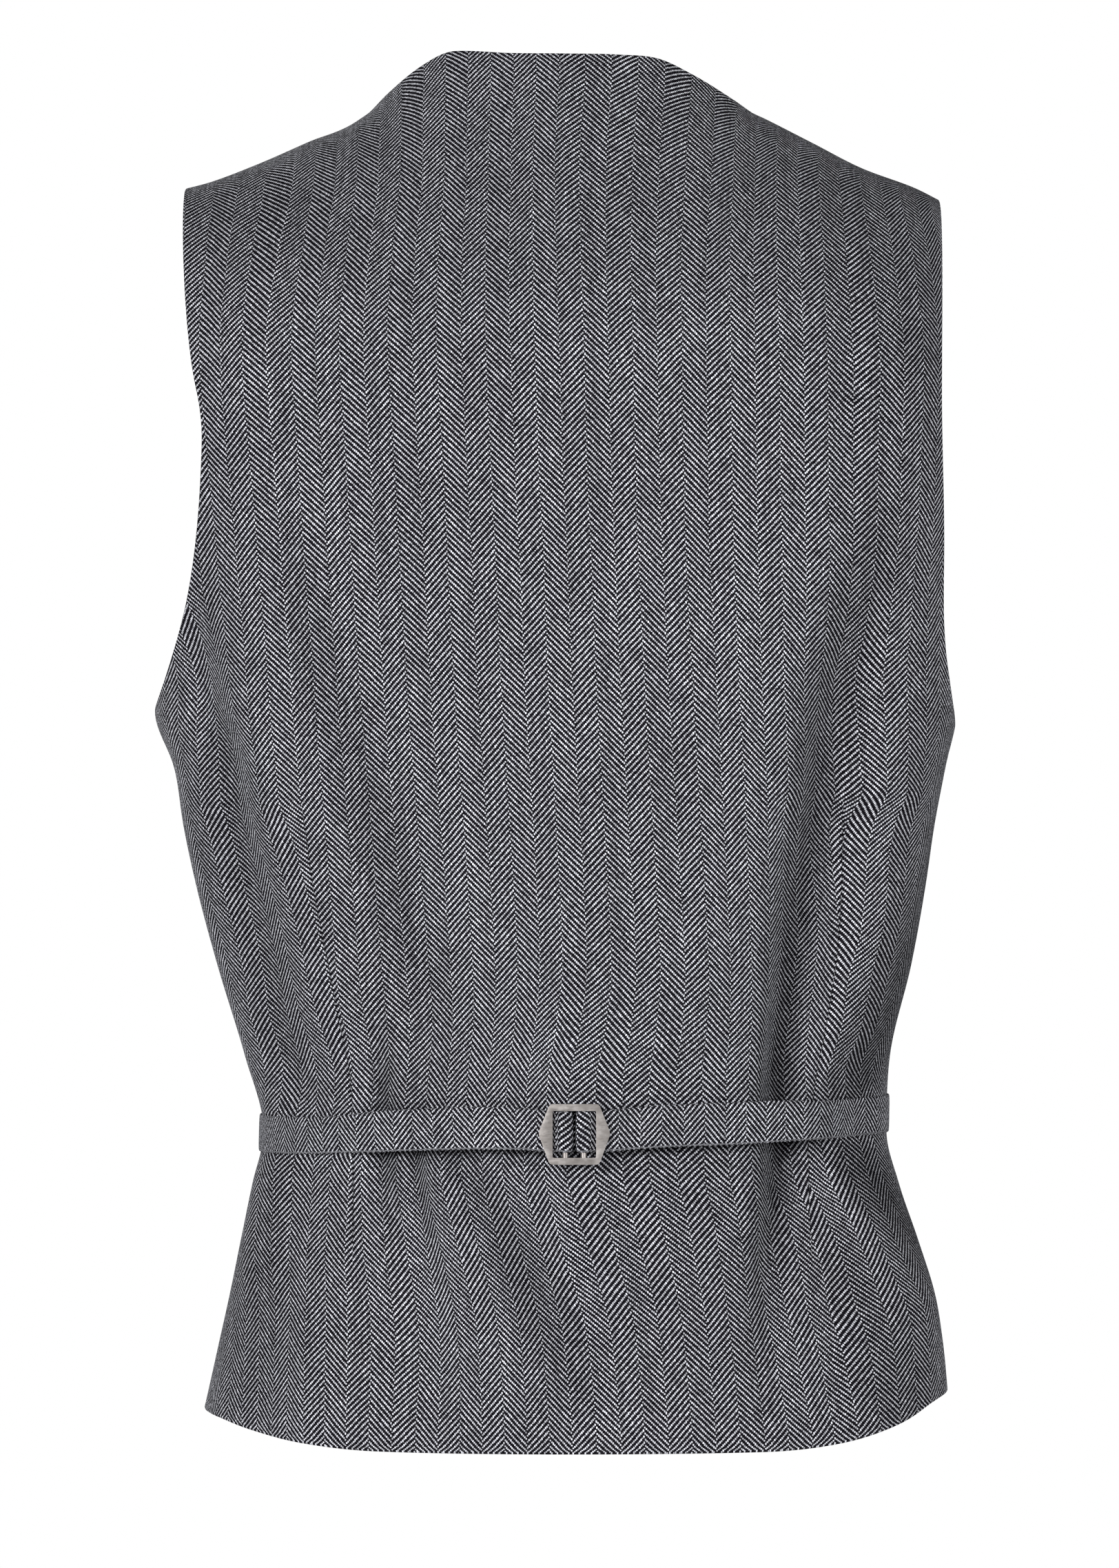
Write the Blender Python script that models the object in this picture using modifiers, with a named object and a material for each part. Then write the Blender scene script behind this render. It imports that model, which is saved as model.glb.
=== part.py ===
"""A slim, nipped-waist suit waistcoat in herringbone wool, held in the hollow shape it has when worn.

The wearer faces -Y and stands along +Z, so the back panel is on the +Y side and the wearer's left
is +X. The origin is at the base of the neck, where the shoulders carry the garment. Sizes are in
millimetres, and each object's points are turned into metres as it is made. Angles run round the
body from the centre back (0) over the wearer's left side (90) to the centre front (180), and
negative angles run over the right side.
"""

import math

import bmesh
import bpy
import numpy as np

MM = 0.001
COLLECTION = "suit_waistcoat"

# Cloth, seams and laps
CLOTH = 1.6  # a panel: wool, interlining and what is turned in at its edges
BELT_CLOTH = 2.0  # the half belts are two layers of the wool
SEAM_GAP = 0.3  # between two pieces at a seam
LYING_GAP = 0.4  # under a piece that lies on a panel
LAP = 11.0  # how far each front runs past the centre line
LAP_STEP = 2.1  # how deep the right front lies under the left one
LAP_FADE = (-45.0, -14.0)  # where the right front rises back to the form
LAP_HEIGHTS = (-245.0, -215.0)  # and where that step ends above the lowest point of the V

SEAM_REACH, WAIST_REACH = 170.0, 130.0  # from the middle to the side seams, chest and waist

# Levels
WAIST = -433.0
BELT_FOOT, BELT_HEAD = -446.0, -412.0  # rows stand closer between these, where the belt lies
UNDERARM_LEFT, UNDERARM_RIGHT = -254.0, -261.0
V_BOTTOM = -277.0
CAP = -120.0  # above this level the ribs of the panels turn over the shoulders

# Level sections of the body, hem to shoulder blade: half widths to each side, depths to the back
# and the front, how far the section is squared out between them, and the same for the depth of the
# back alone, which is flatter over the shoulder blades.
SECTION_COLUMNS = ("height", "left", "right", "back", "front", "square", "flat")
SECTIONS = (
    (-590, 164.0, 168.0, 113.0, 114.0, 0.08, 0.08),
    (-552, 154.0, 163.5, 111.0, 112.0, 0.08, 0.08),
    (-523, 147.4, 160.6, 106.5, 110.0, 0.08, 0.08),
    (-504, 143.2, 157.6, 102.5, 108.0, 0.07, 0.07),
    (-480, 138.4, 150.4, 97.0, 106.0, 0.06, 0.06),
    (-455, 133.4, 142.2, 92.5, 104.0, 0.05, 0.05),
    (-433, 128.6, 137.2, 90.0, 102.5, 0.05, 0.05),
    (-401, 136.8, 138.8, 92.0, 103.0, 0.06, 0.06),
    (-362, 148.5, 148.0, 99.0, 106.0, 0.09, 0.09),
    (-327, 157.5, 154.2, 105.0, 110.0, 0.12, 0.14),
    (-303, 162.4, 157.6, 109.0, 113.0, 0.14, 0.20),
    (-278, 166.3, 162.2, 112.0, 115.0, 0.16, 0.26),
    (-254, 174.6, 167.0, 114.0, 115.5, 0.17, 0.31),
    (-230, 174.5, 167.4, 115.0, 114.5, 0.17, 0.36),
    (-183, 174.0, 169.6, 115.0, 110.0, 0.18, 0.44),
    (-120, 174.0, 170.0, 111.0, 99.0, 0.18, 0.50),
)

# Side seams and armholes. An armhole's edge starts at the side seam's angle, turns round the arm
# as a superellipse to its top angle, and flares outwards again a little below the cap.
SIDE_SEAM = 94.0
ARMHOLE_COLUMNS = ("top_angle", "roundness", "flare")
ARMHOLES = {
    "back_left": (54.9, 2.6, 2.2),
    "back_right": (63.3, 3.3, 0.0),
    "front": (128.0, 2.5, 0.0),
}
FLARE_FROM = 0.82  # share of the height from the underarm to the cap at which the flare begins

# Neckline and shoulder seams, right shoulder tip to left shoulder tip. "across" is the share of
# the half back, "lean" the angle from upright at which the cloth arrives there.
TOP_EDGE_COLUMNS = ("across", "x", "y", "height", "lean")
TOP_EDGE = (
    (-1.00, -159.4, 2.0, -36.4, 90.0),
    (-0.88, -147.5, 2.0, -30.6, 90.0),
    (-0.75, -126.5, 2.0, -22.9, 90.0),
    (-0.60, -105.0, 2.0, -12.0, 90.0),
    (-0.4375, -83.5, 3.0, -1.2, 90.0),
    (-0.37, -72.0, 26.0, 4.2, 62.0),
    (-0.28, -54.0, 40.0, 13.8, 46.0),
    (-0.20, -38.0, 47.5, 20.2, 35.0),
    (-0.12, -22.0, 51.0, 21.2, 30.0),
    (0.00, 0.0, 52.5, 21.5, 29.0),
    (0.12, 24.0, 51.0, 21.9, 30.0),
    (0.22, 46.0, 44.5, 23.4, 35.0),
    (0.30, 61.5, 36.0, 17.4, 46.0),
    (0.37, 75.0, 23.5, 7.6, 62.0),
    (0.4375, 86.5, 3.0, -1.6, 90.0),
    (0.60, 109.4, 2.0, -11.8, 90.0),
    (0.75, 130.0, 2.0, -20.8, 90.0),
    (0.90, 150.6, 2.0, -28.6, 90.0),
    (1.00, 161.6, 2.0, -31.5, 90.0),
)
NECK_POINT = 0.4375  # where, across, the neckline meets the shoulder seam

# Hem of the back: share of the half back from the centre to the side seam, and heights
BACK_HEM_COLUMNS = ("share", "left", "right")
BACK_HEM = (
    (0.00, -560.6, -560.6),
    (0.30, -560.4, -560.7),
    (0.45, -558.4, -558.4),
    (0.60, -554.6, -552.6),
    (0.75, -551.6, -545.4),
    (1.00, -550.8, -543.0),
)

# Hem of a front: it falls from the side seam to a small point and rises again to the front edge
FRONT_POINT_SHARE, FRONT_POINT, FRONT_EDGE_HEM = 0.74, -578.0, -541.0

# Front edge of the left front: distance past or short of the centre line at a few heights
FRONT_EDGE_COLUMNS = ("height", "x")
FRONT_EDGE = ((V_BOTTOM, -LAP), (-200.0, 22.0), (CAP, 52.0))

# The largest folds of the back: troughs, with a negative depth, and ridges, each a line of places
FOLD_COLUMNS = ("height", "x", "half_width", "depth")
FOLDS = {
    "right_valley": (
        (-545.0, -82.0, 7.0, 0.0),
        (-520.0, -83.0, 6.0, -2.2),
        (-500.0, -84.0, 6.0, -4.0),
        (-480.0, -85.5, 6.0, -6.0),
        (-460.0, -87.5, 6.5, -8.0),
        (-440.0, -89.0, 7.0, -9.5),
        (-400.0, -90.0, 7.0, -10.0),
        (-380.0, -92.0, 7.5, -10.0),
        (-340.0, -97.0, 8.5, -9.0),
        (-300.0, -104.0, 9.0, -8.0),
        (-260.0, -110.0, 10.0, -7.0),
        (-240.0, -114.0, 11.0, -6.0),
        (-220.0, -120.0, 14.0, -5.0),
        (-200.0, -127.0, 16.0, -4.0),
        (-180.0, -134.0, 16.0, -2.5),
        (-150.0, -142.0, 16.0, 0.0),
    ),
    "right_ridge": (
        (-530.0, -156.0, 12.0, 0.0),
        (-500.0, -148.0, 11.0, 5.0),
        (-480.0, -136.0, 11.0, 7.0),
        (-460.0, -123.0, 10.0, 7.5),
        (-444.0, -111.0, 9.0, 5.5),
        (-434.0, -107.0, 8.0, 0.0),
        (-417.0, -107.0, 8.0, 0.0),
        (-407.0, -110.0, 9.0, 5.0),
        (-395.0, -115.0, 11.0, 7.0),
        (-380.0, -122.0, 13.0, 9.0),
        (-340.0, -136.0, 16.0, 10.5),
        (-300.0, -144.0, 17.0, 11.0),
        (-260.0, -154.0, 20.0, 12.0),
        (-220.0, -172.0, 24.0, 16.0),
        (-180.0, -176.0, 24.0, 16.0),
        (-148.0, -174.0, 20.0, 7.0),
        (-121.0, -172.0, 18.0, 0.0),
    ),
    "right_side": (
        (-522.0, -162.0, 6.0, 0.0),
        (-500.0, -161.0, 7.0, -7.0),
        (-480.0, -152.0, 8.0, -12.0),
        (-460.0, -139.0, 10.0, -14.0),
        (-443.0, -127.0, 10.0, -12.0),
        (-434.0, -123.0, 11.0, -8.0),
        (-417.0, -123.0, 11.0, -8.0),
        (-408.0, -126.0, 11.0, -12.0),
        (-380.0, -140.0, 10.0, -14.0),
        (-340.0, -151.0, 8.0, -12.0),
        (-300.0, -158.0, 7.0, -9.0),
        (-270.0, -162.0, 6.0, -5.0),
        (-240.0, -164.0, 6.0, 0.0),
    ),
    "left_band": (
        (-412.0, 113.0, 9.0, 0.0),
        (-395.0, 117.0, 8.5, -2.5),
        (-380.0, 119.0, 8.5, -4.0),
        (-360.0, 124.0, 8.5, -5.0),
        (-340.0, 128.0, 8.0, -6.0),
        (-320.0, 132.0, 7.5, -6.5),
        (-300.0, 136.0, 7.5, -7.0),
        (-280.0, 140.0, 7.5, -7.0),
        (-260.0, 142.0, 7.5, -7.0),
        (-240.0, 144.0, 8.0, -6.0),
        (-220.0, 150.0, 8.0, -5.0),
        (-195.0, 153.0, 8.0, -2.5),
        (-165.0, 154.0, 8.0, 0.0),
    ),
    "left_strip": (
        (-408.0, 127.0, 9.0, 0.0),
        (-380.0, 134.0, 9.0, 1.5),
        (-340.0, 143.0, 10.0, 3.5),
        (-300.0, 151.0, 10.0, 5.0),
        (-260.0, 158.0, 10.0, 5.0),
        (-225.0, 163.0, 10.0, 3.0),
        (-190.0, 167.0, 10.0, 0.0),
    ),
    "left_blade": (
        (-425.0, 48.0, 8.0, 0.0),
        (-388.0, 53.0, 9.0, -4.5),
        (-340.0, 69.0, 9.5, -6.5),
        (-281.0, 87.0, 10.0, -7.0),
        (-220.0, 106.0, 9.5, -6.5),
        (-183.0, 117.0, 9.5, -4.5),
        (-148.0, 124.0, 10.0, 0.0),
    ),
    "long_diagonal": (
        (-549.0, -15.0, 13.0, 0.0),
        (-525.0, -3.0, 13.0, -6.0),
        (-490.0, 15.0, 11.0, -8.0),
        (-460.0, 33.0, 9.0, -8.0),
        (-440.0, 44.0, 8.0, -6.5),
        (-420.0, 53.0, 7.0, 0.0),
    ),
    "hem_left": (
        (-551.0, 141.0, 16.0, 0.0),
        (-520.0, 138.0, 16.0, -6.0),
        (-485.0, 134.0, 14.0, -6.0),
        (-450.0, 128.0, 12.0, 0.0),
    ),
}
FOLDS_END = (76.0, 93.0)  # degrees round the body at which they fade towards the side seams

# How the belts press the back in: the line's height, its depth and reach, and where it ends
PRESS_LINE, PRESS_DEPTH, PRESS_REACH = -433.5, 5.5, 10.5
PRESS_FROM, PRESS_TO = (-116.0, -103.0), (76.0, 90.0)

# Rows and columns of the panels
BACK_COLUMNS = 46
BACK_ROWS = (7, 6, 12, 9, 9)
FRONT_COLUMNS_TO_POINT, FRONT_COLUMNS_TO_EDGE = 9, 4
FRONT_ROWS = (8, 6, 1, 8, 7)
UNDERARM_EASE = 2.2  # rows stand closer where the armhole turns under the arm
EDGE_STRIP = 0.012  # share of a panel taken by a narrow last column or row, which squares its edge

# The ribs above the cap level: how far up, in thirds, the cloth keeps its direction before it turns
# forward, and how long the stretch is that arrives at a level top edge and at one that leans over
CAP_RISE = 84.0
ARRIVING = (2.0, 1.35)

# Half belts: where each is sewn flat, and its height at stations along it
BELT_COLUMNS = ("x", "middle", "height", "lift")
BELT_LEFT = (
    (130.0, -433.6, 15.8, 0.0),
    (91.0, -431.2, 16.0, 0.0),
    (80.0, -430.0, 17.2, 0.0),
    (60.0, -428.6, 17.8, 0.9),
    (36.0, -427.6, 18.2, 1.6),
    (22.0, -427.6, 18.0, 2.3),
    (9.0, -428.6, 17.0, 2.3),
    (-2.0, -428.8, 16.9, 2.3),
)
BELT_RIGHT = (
    (-136.0, -425.2, 15.9, 0.0),
    (-108.0, -425.6, 16.2, 0.0),
    (-92.0, -425.4, 17.4, 0.3),
    (-70.0, -426.0, 17.9, 1.2),
    (-45.0, -426.6, 18.0, 1.7),
    (-30.0, -427.4, 18.0, 2.3),
    (-17.0, -428.6, 17.0, 2.3),
    (-4.0, -428.8, 16.9, 2.3),
)
BELT_STATIONS = 22
BELT_LINE = -430.0
BELT_SINKS = ("right_side",)  # the folds that a belt's sewn end follows

# Buckle: a flat frame with a pointed lobe at each side and two bars across its window
BUCKLE_X, BUCKLE_HEIGHT = -3.8, -429.8
BUCKLE_LIFT = 5.1  # from the panel to the frame's inner face: the belt and its turned end lie between
FRAME_THICKNESS = 2.4
FRAME_EDGE = 0.45  # bevel round its edges
FRAME_CORNERS = ((10.2, 12.5, 2.0), (14.95, 0.4, 4.5), (10.2, -12.5, 2.0))  # x, height, radius
WINDOW_HALF_WIDTH, WINDOW_HALF_HEIGHT, WINDOW_RADIUS = 9.0, 9.7, 0.7
FRAME_CORNER_STEPS, WINDOW_CORNER_STEPS = 4, 2
BAR_OFFSET, BAR_RADIUS = 3.8, 0.9
BAR_DEPTH = 0.9  # of the bars' middle, from the frame's inner face
BAR_SEAT = 1.0  # how far a bar runs into the frame at each end

# A belt's way from under its lobe up to its bar, round it and down: distance out from the buckle's
# middle, and rise above its level under the lobe. Between the two it turns round the bar.
LOOP_ROUTE_COLUMNS = ("out", "rise")
ROUTE_TO_BAR = ((14.0, 0.0), (11.0, 0.0), (9.4, 0.05), (8.0, 0.6), (6.9, 1.5))
ROUTE_FROM_BAR = ((3.4, -0.9),)
LOOP_TURN = (10.0, 220.0)  # degrees round the bar, counted from the side the belt comes from
LOOP_STEPS = 8
TAIL = (5.4, 22.0)  # the end is then turned back under the belt from here to there
TAIL_STEPS = 4

# Buttons
BUTTON_HEIGHTS = (-291.0, -348.0, -405.0, -462.0, -519.0)
BUTTON_THICKNESS = 3.0
BUTTON_PROFILE_COLUMNS = ("radius", "height")
BUTTON_PROFILE = (
    (0.0, 0.6),
    (5.1, 0.6),
    (6.1, 1.4),
    (6.9, 1.5),
    (7.5, 0.8),
    (7.1, -1.0),
    (5.9, -1.5),
    (0.0, -1.5),
)
BUTTON_HOLE_RADIUS, BUTTON_HOLE_OFFSET = 0.9, 1.7
BUTTON_STEPS, BUTTON_HOLE_STEPS = 28, 8

# Materials: colour, roughness, metallic
FINISHES = {
    "wool": ((0.13, 0.13, 0.14, 1.0), 0.9, 0.0),
    "buckle_metal": ((0.42, 0.40, 0.37, 1.0), 0.42, 1.0),
    "button_horn": ((0.035, 0.032, 0.03, 1.0), 0.35, 0.0),
}


def column(rows, columns, name):
    """One named column of a table."""
    return np.array([row[columns.index(name)] for row in rows], float)


def through(knots, values, at):
    """A smooth curve through a table's values, read at the places `at`, with no overshoot."""
    steps = np.diff(values) / np.diff(knots)
    before, after = np.append(steps[0], steps), np.append(steps, steps[-1])
    most = 3 * np.minimum(abs(before), abs(after))
    slopes = np.where(before * after > 0, np.clip(np.gradient(values, knots), -most, most), 0.0)
    at = np.clip(at, knots[0], knots[-1])
    k = np.clip(np.searchsorted(knots, at, side="right") - 1, 0, len(knots) - 2)
    span = knots[k + 1] - knots[k]
    t = (at - knots[k]) / span
    rise = values[k + 1] - values[k]
    start, end = slopes[k] * span, slopes[k + 1] * span
    return values[k] + start * t + (3 * rise - 2 * start - end) * t**2 + (start + end - 2 * rise) * t**3


def read(rows, columns, name, at):
    """A table's named column at the places `at`, which its first column measures."""
    return through(column(rows, columns, columns[0]), column(rows, columns, name), at)


def ease(low, high, at):
    """0 below low, 1 above high and a smooth step between."""
    t = np.clip((np.asarray(at, float) - low) / (high - low), 0.0, 1.0)
    return t * t * (3 - 2 * t)


def unit(vectors):
    return vectors / np.linalg.norm(vectors, axis=-1, keepdims=True)


def torso(angle, height):
    """Points of the garment's outer form at these angles (degrees) and heights."""
    angle, height = np.broadcast_arrays(np.radians(angle), np.asarray(height, float))
    side, depth = np.sin(angle), np.cos(angle)
    half = np.where(
        side >= 0,
        read(SECTIONS, SECTION_COLUMNS, "left", height),
        read(SECTIONS, SECTION_COLUMNS, "right", height),
    )
    deep = np.where(
        depth >= 0,
        read(SECTIONS, SECTION_COLUMNS, "back", height),
        read(SECTIONS, SECTION_COLUMNS, "front", height),
    )
    square = read(SECTIONS, SECTION_COLUMNS, "square", height)
    flat = np.where(depth >= 0, read(SECTIONS, SECTION_COLUMNS, "flat", height), square)
    return np.stack(
        (
            half * side * (1 + square * depth**2),
            deep * depth * (1 + flat * side**2),
            height,
        ),
        axis=-1,
    )


def back_angle(x, height):
    """The angle at which the back of the form has this x."""
    angles = np.linspace(-90.0, 90.0, 181)
    return float(np.interp(x, torso(angles, height)[:, 0], angles))


def fold_depth(x, height, names=tuple(FOLDS)):
    """How far the folds of the back move its places, straight in or out."""
    moved = np.zeros(np.broadcast(x, height).shape)
    for rows in (sorted(FOLDS[name]) for name in names):
        place, half_width, depth = (read(rows, FOLD_COLUMNS, name, height) for name in FOLD_COLUMNS[1:])
        moved = moved + depth * np.exp(-(((x - place) / half_width) ** 2))
    return moved


def under_belt(x, height):
    """How far the belts press the back in."""
    level = np.exp(-(((height - PRESS_LINE) / PRESS_REACH) ** 2))
    return -PRESS_DEPTH * level * ease(*PRESS_FROM, x) * (1 - ease(*PRESS_TO, x))


def outward(surface, angle, height):
    """A surface's points and its outward normals there, from points a small step away."""
    step = 0.4
    points = surface(angle, height)
    round_body = surface(angle + step, height) - surface(angle - step, height)
    upward = surface(angle, height + step) - surface(angle, height - step)
    return points, unit(np.cross(upward, round_body))


def back_surface(angle, height):
    """The back panel's outer face below the cap: the form with its largest folds."""
    points = torso(angle, height)
    moved = fold_depth(points[..., 0], height) + under_belt(points[..., 0], height)
    points[..., 1] += moved * (1 - ease(*FOLDS_END, np.abs(angle)))
    return points


def left_front_surface(angle, height):
    return torso(angle, height)


def right_front_surface(angle, height):
    """The right front's outer face below the cap, which steps in where the left front laps over it."""
    points, normals = outward(torso, angle, height)
    step = LAP_STEP * ease(*LAP_FADE, points[..., 0]) * (1 - ease(*LAP_HEIGHTS, points[..., 2]))
    return points - normals * step[..., None]


def row_heights(levels, counts, eased=None):
    """Heights of the rows between levels, each level a height for every column."""
    rows = []
    for stretch, (low, high, count) in enumerate(zip(levels, levels[1:], counts)):
        power = UNDERARM_EASE if stretch == eased else 1.0
        rows += [low + (high - low) * (step / count) ** power for step in range(count)]
    return np.array(rows + [levels[-1]])


def half_gap_angle(reach):
    """Half a seam's gap as an angle, at this distance from the middle."""
    return math.degrees(SEAM_GAP / 2 / reach)


def armhole_angle(edge, height, underarm):
    """The angle of an armhole's edge, which is the side seam's below the underarm."""
    top_angle, roundness, flare = ARMHOLES[edge]
    share = np.clip((height - underarm) / (CAP - underarm), 0.0, 1.0)
    turned = (1 - (1 - share) ** roundness) ** (1 / roundness)
    flared = flare * (np.clip(share - FLARE_FROM, 0.0, 1.0) / (1 - FLARE_FROM)) ** 2
    return SIDE_SEAM + (top_angle - SIDE_SEAM) * turned + flared


def ribs(first, below, last, arriving, lean, steps):
    """Rows that carry a panel from its cap level over to its top edge.

    Each rib leaves along the form, turns forward over the shoulder blades and arrives in the
    direction `arriving`, flat on top where its lean is 90 degrees.
    """
    rise = (first - below) / (first - below)[..., 2:]
    turn = np.sin(np.radians(lean))[:, None] ** 2
    leaving = rise * CAP_RISE
    reach = np.linalg.norm(last - first, axis=-1, keepdims=True)
    arriving = arriving * reach * (ARRIVING[0] + (ARRIVING[1] - ARRIVING[0]) * turn)
    t = np.append(np.arange(1, steps) / steps, (1 - EDGE_STRIP, 1.0))[:, None, None]
    return (
        (2 * t**3 - 3 * t**2 + 1) * first
        + (t**3 - 2 * t**2 + t) * leaving
        + (3 * t**2 - 2 * t**3) * last
        + (t**3 - t**2) * arriving
    )


def top_edge(across):
    """Points of the neckline and the shoulder seams, and the lean of the cloth there."""
    names = ("x", "y", "height")
    points = np.stack([read(TOP_EDGE, TOP_EDGE_COLUMNS, name, across) for name in names], axis=-1)
    return points, read(TOP_EDGE, TOP_EDGE_COLUMNS, "lean", across)


def with_cap(surface, grid_angle, heights, steps, last, arriving, lean):
    """A panel's grid: its surface up to the cap level, then ribs to its top edge."""
    body = surface(grid_angle, heights)
    back_a_little = 0.1
    below = surface(
        grid_angle[-1] + back_a_little * (grid_angle[-2] - grid_angle[-1]),
        heights[-1] + back_a_little * (heights[-2] - heights[-1]),
    )
    return np.concatenate((body, ribs(body[-1], below, last, arriving, lean, steps)))


def back_grid():
    """Outer points of the back panel, rows from hem to neck and columns from right to left."""
    across = np.linspace(-1.0, 1.0, BACK_COLUMNS + 1)
    across = np.insert(across, (1, BACK_COLUMNS), (EDGE_STRIP - 1.0, 1.0 - EDGE_STRIP))
    share = np.abs(across)
    hem = np.where(
        across >= 0,
        read(BACK_HEM, BACK_HEM_COLUMNS, "left", share),
        read(BACK_HEM, BACK_HEM_COLUMNS, "right", share),
    )
    underarm = UNDERARM_RIGHT + (UNDERARM_LEFT - UNDERARM_RIGHT) * (across + 1) / 2
    level = np.ones_like(across)
    levels = (hem, BELT_FOOT * level, BELT_HEAD * level, underarm, CAP * level)
    heights = row_heights(levels, BACK_ROWS[:4], eased=3)
    seam = half_gap_angle(SEAM_REACH)
    left_edge = armhole_angle("back_left", heights[:, -1], UNDERARM_LEFT) - seam
    right_edge = armhole_angle("back_right", heights[:, 0], UNDERARM_RIGHT) - seam
    edges = np.where(across >= 0, left_edge[:, None], right_edge[:, None])
    angles = across * SIDE_SEAM - across * share * (SIDE_SEAM - edges)
    last, lean = top_edge(across)
    arriving = np.stack((0 * lean, -np.sin(np.radians(lean)), np.cos(np.radians(lean))), axis=-1)
    last = last + (0, SEAM_GAP / 2, 0)
    return with_cap(back_surface, angles, heights, BACK_ROWS[4], last, arriving, lean)


def front_edge_angle(side, height):
    """The angle of a front's free edge, past 180 degrees where it laps over the centre line."""
    x = read(FRONT_EDGE, FRONT_EDGE_COLUMNS, "x", height)
    half = read(SECTIONS, SECTION_COLUMNS, "left" if side > 0 else "right", height)
    square = read(SECTIONS, SECTION_COLUMNS, "square", height)
    return 180.0 - np.degrees(np.arcsin(x / (half * (1 + square))))


def front_grid(side):
    """Outer points of a front, side +1 for the left one, columns in order of their angle."""
    inward = np.concatenate(
        (
            (0.0, EDGE_STRIP),
            np.linspace(0.0, FRONT_POINT_SHARE, FRONT_COLUMNS_TO_POINT + 1)[1:-1],
            np.linspace(FRONT_POINT_SHARE, 1.0, FRONT_COLUMNS_TO_EDGE + 1),
        )
    )
    hem_side = BACK_HEM[-1][BACK_HEM_COLUMNS.index("left" if side > 0 else "right")]
    hem = np.interp(inward, (0, FRONT_POINT_SHARE, 1), (hem_side, FRONT_POINT, FRONT_EDGE_HEM))
    underarm = UNDERARM_LEFT if side > 0 else UNDERARM_RIGHT
    level = np.ones_like(inward)
    levels = [height * level for height in (WAIST, V_BOTTOM, underarm, CAP)]
    heights = row_heights([hem] + levels, FRONT_ROWS[:4], eased=3)
    side_edge = armhole_angle("front", heights[:, 0], underarm) + half_gap_angle(SEAM_REACH)
    free_edge = front_edge_angle(side, heights[:, -1])
    turned_in = (side_edge - side_edge[0])[:, None] * (1 - inward) ** 2
    cut_away = (free_edge - free_edge[0])[:, None] * inward**2
    angles = side * (side_edge[0] + (free_edge[0] - side_edge[0]) * inward + turned_in + cut_away)
    last, _ = top_edge(side * (1 - inward * (1 - NECK_POINT)))
    lean = np.full_like(inward, 90.0)
    arriving = np.broadcast_to((0.0, 1.0, 0.0), last.shape)
    last = last - (0, SEAM_GAP / 2, 0)
    surface = left_front_surface if side > 0 else right_front_surface
    grid = with_cap(surface, angles, heights, FRONT_ROWS[4], last, arriving, lean)
    return grid if side > 0 else grid[:, ::-1]


def buckle_depth():
    """Where the frame's inner face lies, in Y."""
    return float(torso(back_angle(BUCKLE_X, BUCKLE_HEIGHT), BUCKLE_HEIGHT)[1]) + BUCKLE_LIFT


def belt_loop(side):
    """Where a half belt runs, in X and Y, from the lobe round its bar to the end of its tail."""
    reach = BAR_RADIUS + SEAM_GAP + BELT_CLOTH / 2
    under_lobe = -LYING_GAP - BELT_CLOTH / 2
    route = [(out, under_lobe + rise) for out, rise in ROUTE_TO_BAR]
    for turn in np.radians(np.linspace(*LOOP_TURN, LOOP_STEPS + 1)):
        route.append((BAR_OFFSET + reach * math.cos(turn), BAR_DEPTH + reach * math.sin(turn)))
    route += [(out, under_lobe + rise) for out, rise in ROUTE_FROM_BAR]
    points = [(BUCKLE_X + side * out, buckle_depth() + depth) for out, depth in route]
    for out in np.linspace(*TAIL, TAIL_STEPS + 1):
        x = BUCKLE_X + side * out
        panel = float(torso(back_angle(x, BUCKLE_HEIGHT), BUCKLE_HEIGHT)[1])
        points.append((x, panel + LYING_GAP + BELT_CLOTH / 2))
    return points


def belt_grid(side):
    """Middle surface of a half belt: a lower and an upper row, from the side seam to the tail."""
    rows = sorted(BELT_LEFT if side > 0 else BELT_RIGHT)
    seam_angle = SIDE_SEAM - half_gap_angle(WAIST_REACH)
    lobe_angle = back_angle(BUCKLE_X + side * (TAIL[1] - 1.0), WAIST)
    angles = np.linspace(side * seam_angle, lobe_angle, BELT_STATIONS)
    xs = torso(angles, WAIST)[:, 0]
    lift = LYING_GAP + BELT_CLOTH / 2 + read(rows, BELT_COLUMNS, "lift", xs)
    loop = np.array(belt_loop(side))
    edges = []
    for edge in (-0.5, 0.5):
        middles, widths = (
            read(rows, BELT_COLUMNS, name, np.append(xs, loop[:, 0])) for name in ("middle", "height")
        )
        heights = middles + edge * widths
        points, normals = outward(torso, angles, heights[: len(xs)])
        sunk = fold_depth(xs, np.full(len(xs), BELT_LINE), BELT_SINKS)
        points[:, 1] += sunk * (1 - ease(*FOLDS_END, np.abs(angles)))
        turned = np.column_stack((loop, heights[len(xs) :]))
        edges.append(np.concatenate((points + normals * lift[:, None], turned)))
    return np.stack(edges)


def make_material(name):
    colour, roughness, metallic = FINISHES[name]
    material = bpy.data.materials.new(name)
    material.use_nodes = True
    shader = material.node_tree.nodes["Principled BSDF"]
    shader.inputs["Base Color"].default_value = colour
    shader.inputs["Roughness"].default_value = roughness
    shader.inputs["Metallic"].default_value = metallic
    material.diffuse_color = colour
    return material


def link(obj, collection, material):
    obj.data.materials.append(material)
    collection.objects.link(obj)
    return obj


def make_cloth(name, grid, thickness, offset, collection, material):
    """A shell on a grid of points, thickened inwards (offset -1) or both ways (offset 0)."""
    rows, columns = grid.shape[:2]
    faces = []
    for r in range(rows - 1):
        for c in range(columns - 1):
            here = r * columns + c
            faces.append((here, here + columns, here + columns + 1, here + 1))
    mesh = bpy.data.meshes.new(name)
    mesh.from_pydata((grid.reshape(-1, 3) * MM).tolist(), [], faces)
    mesh.shade_smooth()
    obj = link(bpy.data.objects.new(name, mesh), collection, material)
    shell = obj.modifiers.new("cloth", "SOLIDIFY")
    shell.thickness = thickness * MM
    shell.offset = offset
    return obj


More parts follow.
